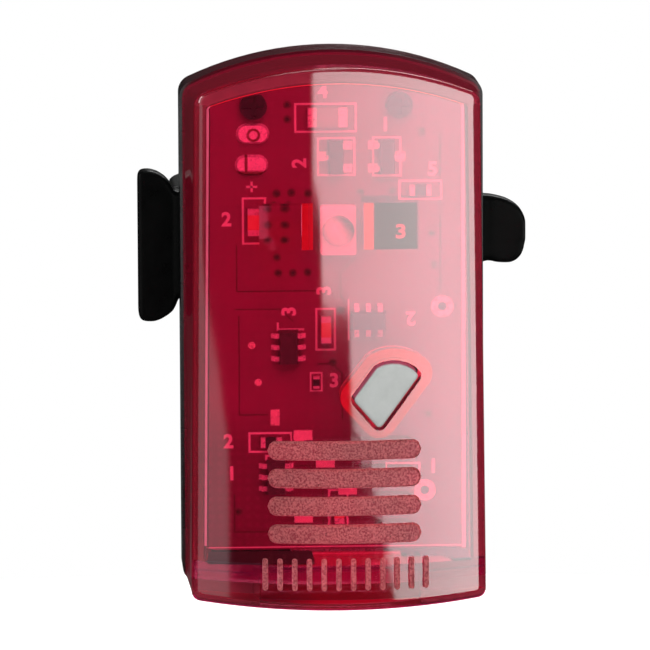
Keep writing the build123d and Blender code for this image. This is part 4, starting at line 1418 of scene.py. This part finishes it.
def dome_silicone():
    """Milky silicone of the main LED's dome, whose right side is darkened by painted shade."""
    made, tree, where = new_material("led_silicone")
    glow = noise(tree, where, 0.6, 2.0, 0.5)
    lean = reckon_vector(tree, "DOT_PRODUCT", where, (0.8, 0.0, 0.6))
    middle = (0.8 * LED_MIDDLE[0] + 0.6 * LED_MIDDLE[1]) * MM
    # Painted shade: the dome darkens towards its upper right
    painted_shade = spread(tree, lean, 0.0, 1.0, middle - 0.15 * MM, middle + 0.95 * MM)
    warm = mixed(tree, spread(tree, glow, 0.0, 1.0), (0.90, 0.86, 0.74), (0.98, 0.95, 0.86))
    inputs = {
        "Base Color": mixed(tree, painted_shade, warm, (0.06, 0.02, 0.025)),
        "Roughness": spread(tree, glow, 0.05, 0.12),
        "Coat Weight": 0.8,
        "Subsurface Weight": 0.3,
        "Subsurface Radius": (0.0004, 0.0003, 0.0002),
        "Normal": bump(tree, noise(tree, where, 0.5, 1.0, 0.4), 0.006),
    }
    output(tree, principled(tree, inputs))
    return made


class TAILLIGHT_OT_electronics(bpy.types.Operator):
    """Finishes of the chips, lamps, solder, screws, switch, socket and battery, and the LED's dome"""

    bl_idname = "tail_light.electronics"
    bl_label = "Electronics"

    def execute(self, context):
        made = {}
        for name, (nodes, *finish) in FINISHES.items():
            made[name] = surface(name, *finish)
            paint(nodes, made[name])
        painted_solder_shade(made["solder"])
        lighter_above(made["resistor_glaze"], 10.0, (0.30, 0.22, 0.20))
        # A sloping foot, a ball of 1.3 mm radius and a crown closed by a tiny ring
        profile = [(1.14, 0.0)]
        for k in range(1, 15):
            turn = radians(-14 + 104 * k / 15)
            profile.append((1.3 * cos(turn), 0.35 + 1.3 * sin(turn)))
        profile.append((0.02, 1.65))
        loops = []
        for radius, rise in profile:
            ring = circle(LED_MIDDLE, radius, 40)
            loops.append([(x, BOARD_Y - 0.9 - rise, z) for x, z in ring])
        dome = skin("led_lens", loops)
        sharpen(dome, 50.0)
        dome.data.materials.append(dome_silicone())
        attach(dome, "body")
        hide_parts("led_dome")
        return {"FINISHED"}


def case_plastic():
    """Black plastic, with painted deep red light inside, where the front's light would fall, and a
    painted red glow at the crown of the rim.
    """
    made = surface(
        "black_case_plastic", (0.005, 0.005, 0.0055), (0.010, 0.010, 0.011), (0.16, 0.26),
        patch=3.0, grain=0.22, depth=0.003, **{"Specular IOR Level": 0.3},
    )
    tree, where = opened(made)
    place = split(tree, where)
    inside = spread(tree, place["Y"], 1.0, 0.0, (SPLIT_Y - 0.12) * MM, (SPLIT_Y - 0.06) * MM)
    painted_red_light = mixed(tree, noise(tree, where, 1.5, 3.0, 0.6), (0.12, 0.007, 0.032), (0.17, 0.012, 0.048))
    # Painted red glow at the crown of the rim
    tone_over(made, spread(tree, place["Z"], 0.0, 1.0, 13.5 * MM, 15.5 * MM), (0.062, 0.002, 0.008))
    # Painted red light inside the case, behind the split
    tone_over(made, inside, painted_red_light)
    return made


class TAILLIGHT_OT_case(bpy.types.Operator):
    """Finishes of the rear case, the saddle pad and the flap, and dark strips of painted shade in the
    foot
    """

    bl_idname = "tail_light.case"
    bl_label = "Rear Case"

    def execute(self, context):
        rubber = surface(
            "black_rubber", (0.014, 0.014, 0.014), (0.026, 0.026, 0.025), (0.55, 0.72),
            patch=1.6, grain=0.14, depth=0.02,
        )
        paint(("rear_case",), case_plastic())
        paint(("saddle_pad", "port_cover", "port_cover_root"), rubber)
        # Painted shade: dark rubber strips on the sill, in the gap below the board
        outlines = (
            [(-10.6, -29.2), (-2.0, -29.6), (-2.0, -23.5), (-10.6, -23.5)],
            [(5.2, -26.2), (8.6, -26.2), (9.2, -29.0), (10.6, -28.6), (10.6, -23.5), (5.2, -23.5)],
        )
        shade_strips = [prism("shade_strip", rounded(shape, 0.35, 4), -24.19, -24.06, lying) for shape in outlines]
        bar = join("painted_shade_strips", shade_strips)
        bar.data.materials.append(rubber)
        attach(bar, "body")
        return {"FINISHED"}


# The head seen from the front and the cuts that shape the tab, each an outline as X and Z
HEAD = [
    (-15.95, -6.42), (-15.95, 6.3), (-14.95, 6.35), (-14.3, 6.18), (-13.66, 5.77), (-13.2, 5.25),
    (-12.85, 4.6), (-11.0, 4.6), (-11.0, -4.3), (-12.6, -4.3), (-12.75, -4.9), (-13.03, -5.45),
    (-13.5, -5.85), (-14.1, -6.22), (-14.65, -6.42),
]
HEAD_RADII = [1.3, 0.75] + [0.0] * 5 + [0.2, 0.2, 0.3] + [0.0] * 5
BELOW_TAB = [
    (13.0, -1.38), (13.45, -1.46), (14.5, -1.62), (15.1, -1.62), (15.6, -1.45), (16.0, -1.12),
    (16.3, -0.6), (16.45, 0.1), (16.6, 0.8), (17.5, 0.8), (17.5, -4.0), (13.0, -4.0),
]
ABOVE_TAB = [
    (13.0, 4.16), (13.9, 4.05), (14.85, 3.81), (15.6, 3.42), (16.1, 2.95), (16.4, 2.4), (16.6, 1.6),
    (17.5, 1.6), (17.5, 6.0), (13.0, 6.0),
]
HEAD_BACK = -10.65
HEAD_FRONT = -13.15

# Where the free end bends outwards past the hook, and the tab's depths and reach
BEND_Y = -11.0
BEND_RADII = (0.6, 2.6)
TAB_BACK = -11.6
TAB_FRONT = -13.6
TAB_REACH = 3.5

# In front of this depth the head's outer side leans back and the tab's end leans forwards
LEAN_FRONT = -10.4
LEAN_LEFT = -13.0
LEAN_RIGHT = 13.4
LEAN = 0.18


def strap_plan(thickness):
    """The strap from above: round the post, with the head's root left and the free end right."""
    inner = POST_RADIUS + 0.02
    outer = POST_RADIUS + thickness

    def ring(middle, radius, turns):
        """Points round a middle at these turns, on its far side where the radius is negative."""
        turns = [radians(turn) for turn in turns]
        return [(middle[0] + radius * cos(turn), middle[1] + radius * sin(turn)) for turn in turns]

    half_turn = [180.0 * k / 72 for k in range(73)]
    bend = ((inner + outer) / 2 + sum(BEND_RADII) / 2, BEND_Y)
    plan = ring((0.0, 0.0), outer, half_turn)
    plan += [(-outer, HEAD_BACK - 1.4), (-POST_RADIUS, HEAD_BACK - 1.4)]
    plan += ring((0.0, 0.0), inner, half_turn[::-1])
    plan += [(inner, BEND_Y)]
    plan += ring(bend, -BEND_RADII[1], range(6, 91, 7))
    plan += [(outer + TAB_REACH, TAB_FRONT), (outer + TAB_REACH, TAB_BACK)]
    plan += ring(bend, -BEND_RADII[0], range(90, 5, -12))
    plan += [(outer, BEND_Y)]
    return plan


class TAILLIGHT_OT_strap(bpy.types.Operator):
    """Silicone strap round the post, with the head on the left and the pull tab on the right"""

    bl_idname = "tail_light.strap"
    bl_label = "Silicone Strap"

    def execute(self, context):
        strap = context.scene.tail_light_strap
        half = strap.height / 2
        band = prism("strap_plan", strap_plan(strap.thickness), -half, half, lying)
        neck = rectangle(-15.0, -12.1, -9.0, -9.0)
        for name, outline, low, high, place in (
            ("under_tab", rectangle(6.0, -11.0, 20.0, -20.0), -8.0, -1.6, lying),
            ("hook_slot", rectangle(9.0, -9.7, 16.0, -4.8), -1.9, 2.5, lying),
            ("neck_low", neck, -6.0, -3.35, lying),
            ("neck_high", neck, 3.35, 6.0, lying),
            ("tab_low", BELOW_TAB, -15.0, -10.5, facing),
            ("tab_high", ABOVE_TAB, -15.0, -10.5, facing),
        ):
            boolean(band, prism(name, outline, low, high, place), "DIFFERENCE")
        plate = prism("strap_head", rounded(HEAD, HEAD_RADII, 6), HEAD_BACK, HEAD_FRONT, facing)
        whole = join("silicone_strap", [band, plate])
        remeshed(whole, strap.voxel, 14)
        for point in whole.data.vertices:
            x, y = point.co.x / MM, point.co.y / MM
            if y < LEAN_FRONT:
                point.co.y += (max(0.0, LEAN_LEFT - x) - max(0.0, x - LEAN_RIGHT)) * LEAN * MM
        whole.data.materials.clear()
        dark = strap.colour[:3]
        soft = surface(
            "black_silicone", dark, [c * 1.7 for c in dark], (0.26, 0.34),
            patch=1.8, grain=0.12, depth=0.005, **{"Specular IOR Level": 0.08},
        )
        whole.data.materials.append(soft)
        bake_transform(whole)
        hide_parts("strap_band", "strap_tail")
        return {"FINISHED"}


# Edges of the lit cloths, as azimuth and elevation seen from the light, in degrees
SOFTBOX_EDGE = [
    (-7.7, 3.0), (-7.7, -5.35), (-5.6, -5.66), (-4.9, -6.36), (-4.5, -7.45), (4.9, -7.57), (5.6, -8.43),
    (5.9, -9.4), (8.0, -9.8), (11.5, -10.1), (19.2, -11.7), (21.4, -12.4), (23.1, -13.4),
]
LEFT_CARD_EDGE = [
    (-46.3, 6.0), (-46.3, -6.4), (-44.0, -7.26), (-42.1, -8.1), (-40.5, -8.4), (-38.9, -9.05),
    (-36.8, -9.8), (-36.4, -16.0),
]
CLOTH_REACH = 500.0
FADE = ((0.0, 0.0), (0.25, 0.12), (0.5, 0.5), (0.75, 0.88), (1.0, 1.0))
CLOTH_STEPS = 14
WHITE = (1.0, 1.0, 1.0)

# Where directions are counted from, and what the camera aims at in millimetres and the lamps in
# metres
ORIGIN_Y = -26.0
ORIGIN_Z = -5.0
AIM = Vector((-0.93, -26.0, -4.97))
LAMP_TARGET = Vector((0.0, -0.015, -0.005))


def bearing(azimuth, elevation, reach):
    """A place at a distance from the light, seen in a direction."""
    a = radians(azimuth)
    e = radians(elevation)
    return (reach * sin(a) * cos(e), ORIGIN_Y - reach * cos(a) * cos(e), ORIGIN_Z + reach * sin(e))


def add_camera(stage):
    """A long lens at the photograph's angle."""
    a = radians(stage.azimuth)
    e = radians(stage.elevation)
    back = Vector((sin(a) * cos(e), -cos(a) * cos(e), sin(e)))
    right = Vector((cos(a), sin(a), 0.0))
    turn = Matrix.Rotation(radians(stage.roll), 3, back)
    up = turn @ back.cross(right)
    right = turn @ right
    lens = bpy.data.cameras.new("camera")
    lens.sensor_width = 36.0
    lens.lens = 404.4
    lens.clip_start = 0.01
    lens.clip_end = 50.0
    camera = add_object("camera", lens)
    place = Matrix((right, up, back)).transposed().to_4x4()
    place.translation = AIM * MM + back * stage.distance * MM
    camera.matrix_world = place
    bpy.context.scene.camera = camera


def add_floor():
    """A pale round floor, white to the camera, which keeps the light's shadow and mirrors dimly."""
    rim = [(x, y, -60.0) for x, y in circle((0.0, 0.0), 170, 64)]
    floor = new_mesh("floor", rim, [tuple(range(64))], smooth=False)
    pale, tree, where = new_material("pale_floor")
    drift = noise(tree, where, 40.0, 2.0, 0.5)
    colour = mixed(tree, drift, (0.78, 0.78, 0.78), (0.82, 0.82, 0.82))
    matt = put(tree, "ShaderNodeBsdfDiffuse", {"Color": colour}).outputs["BSDF"]
    path = put(tree, "ShaderNodeLightPath").outputs
    shown = reckon(tree, "MAXIMUM", path["Is Camera Ray"], path["Is Transmission Ray"])
    glow = emission(tree, WHITE, reckon(tree, "MULTIPLY", shown, 0.75))
    both = put(tree, "ShaderNodeAddShader", {0: matt, 1: glow}).outputs["Shader"]
    output(tree, either(tree, path["Is Glossy Ray"], both, emission(tree, WHITE, 0.06)))
    floor.data.materials.append(pale)


def add_cloth(name, edge, far, blur, radiance, near, colour):
    """A lit cloth from its edge to a far azimuth, which the front mirrors.

    Its edge fades in over the blur. Its strength is near there, and grows to 1 two thirds of the
    way across.
    """
    side = 1.0 if far > edge[0][0] else -1.0
    points = []
    lit = []
    for share, strength in FADE:
        points += [bearing(az + side * blur * share, el, CLOTH_REACH) for az, el in edge]
        lit += [strength * near] * len(edge)
    for k in range(1, CLOTH_STEPS + 1):
        for az, el in edge:
            start = az + side * blur
            across = start + (far - az - side * blur) * k / CLOTH_STEPS
            points.append(bearing(across, el, CLOTH_REACH))
        lit += [near + (1.0 - near) * min(1.0, 1.5 * k / CLOTH_STEPS)] * len(edge)
    count = len(edge)
    faces = [
        (k * count + i, k * count + i + 1, (k + 1) * count + i + 1, (k + 1) * count + i)
        for k in range(len(FADE) + CLOTH_STEPS - 1)
        for i in range(count - 1)
    ]
    made = new_mesh(name, points, faces, smooth=False)
    made.data.attributes.new("lit", "FLOAT", "POINT").data.foreach_set("value", lit)
    cloth, tree, where = new_material(name + "_cloth")
    share = put(tree, "ShaderNodeAttribute", attribute_name="lit").outputs["Fac"]
    output(tree, emission(tree, colour, reckon(tree, "MULTIPLY", share, radiance)))
    made.data.materials.append(cloth)
    made.visible_camera = False


def add_lamp(name, azimuth, elevation, reach, size, power, mirrored=True):
    """An area lamp that looks at the light."""
    data = bpy.data.lights.new(name, "AREA")
    data.shape = "RECTANGLE"
    data.size = size[0] * MM
    data.size_y = size[1] * MM
    data.energy = power
    made = add_object(name, data)
    spot = Vector(bearing(azimuth, elevation, reach)) * MM
    made.location = spot
    made.rotation_mode = "QUATERNION"
    made.rotation_quaternion = (spot - LAMP_TARGET).to_track_quat("Z", "Y")
    made.visible_camera = False
    made.visible_glossy = mirrored


def add_world():
    """White to the camera, and a dark room with a white card behind the light to its reflections."""
    world = bpy.data.worlds.new("studio")
    world.use_nodes = True
    bpy.context.scene.world = world
    tree = world.node_tree
    tree.nodes.clear()
    path = put(tree, "ShaderNodeLightPath").outputs
    way = split(tree, put(tree, "ShaderNodeTexCoord").outputs["Generated"])
    narrow = spread(tree, reckon(tree, "ABSOLUTE", way["X"]), 1.0, 0.0, 0.05, 0.09)
    ahead = spread(tree, way["Y"], 0.0, 1.0, 0.0, 0.1)
    below = spread(tree, way["Z"], 1.0, 0.0, 0.02, 0.08)
    card = reckon(tree, "MULTIPLY", reckon(tree, "MULTIPLY", narrow, ahead), below)

    def between(share, first, second):
        """A number between two, by a share."""
        inputs = {"Factor": share, "A": first, "B": second}
        return put(tree, "ShaderNodeMix", inputs, data_type="FLOAT").outputs[0]

    plain = between(path["Is Camera Ray"], 0.25, 1.0)
    glossy = between(path["Is Glossy Ray"], plain, between(card, 0.012, 0.16))
    strength = between(path["Is Transmission Ray"], glossy, between(card, 0.12, 1.0))
    sky = put(tree, "ShaderNodeBackground", {"Color": WHITE, "Strength": strength})
    put(tree, "ShaderNodeOutputWorld", {"Surface": sky.outputs["Background"]})


class TAILLIGHT_OT_stage(bpy.types.Operator):
    """Camera at the photograph's angle, pale floor, softboxes and the white surroundings"""

    bl_idname = "tail_light.stage"
    bl_label = "Stage"

    def execute(self, context):
        stage = context.scene.tail_light_stage
        context.scene.view_settings.view_transform = "Standard"
        add_camera(stage)
        add_floor()
        add_cloth(
            "softbox", SOFTBOX_EDGE, far=62.0, blur=2.2, radiance=stage.softbox, near=0.7,
            colour=(1.0, 0.985, 0.97),
        )
        add_cloth(
            "left_card", LEFT_CARD_EDGE, far=-75.0, blur=3.0, radiance=stage.softbox * 0.135, near=1.0,
            colour=WHITE,
        )
        # Azimuth, elevation, distance, size and power
        add_lamp("key_lamp", 12.0, 44.0, 600.0, (420.0, 300.0), 2.9, False)
        add_lamp("top_lamp", -30.0, 72.0, 600.0, (300.0, 300.0), 0.5)
        add_lamp("left_lamp", -80.0, 14.0, 600.0, (120.0, 320.0), 0.7)
        add_lamp("back_lamp", 165.0, 35.0, 650.0, (300.0, 300.0), 1.2)
        add_world()
        return {"FINISHED"}


STEPS = ("stage", "case", "board", "electronics", "button", "lens", "strap")


class TAILLIGHT_PT_panel(bpy.types.Panel):
    """Lists the steps of the tail light in the sidebar"""

    bl_idname = "TAILLIGHT_PT_panel"
    bl_label = "Tail Light"
    bl_space_type = "VIEW_3D"
    bl_region_type = "UI"
    bl_category = "Tail Light"

    def draw(self, context):
        for step in STEPS:
            self.layout.operator("tail_light." + step)
        for group in GROUPS:
            held = getattr(context.scene, group)
            box = self.layout.box()
            for name in held.__annotations__:
                box.prop(held, name)


GROUPS = {
    "tail_light_lens": LensSettings,
    "tail_light_marks": MarkSettings,
    "tail_light_board": BoardSettings,
    "tail_light_strap": StrapSettings,
    "tail_light_stage": StageSettings,
}

CLASSES = (
    LensSettings,
    MarkSettings,
    BoardSettings,
    StrapSettings,
    StageSettings,
    TAILLIGHT_OT_stage,
    TAILLIGHT_OT_case,
    TAILLIGHT_OT_board,
    TAILLIGHT_OT_electronics,
    TAILLIGHT_OT_button,
    TAILLIGHT_OT_lens,
    TAILLIGHT_OT_strap,
    TAILLIGHT_PT_panel,
)


def register():
    for one in CLASSES:
        bpy.utils.register_class(one)
    for name, group in GROUPS.items():
        setattr(bpy.types.Scene, name, PointerProperty(type=group))


def unregister():
    for name in GROUPS:
        delattr(bpy.types.Scene, name)
    for one in reversed(CLASSES):
        bpy.utils.unregister_class(one)


def main():
    """Builds the whole light."""
    register()
    for step in STEPS:
        getattr(bpy.ops.tail_light, step)()


if __name__ == "__main__":
    main()
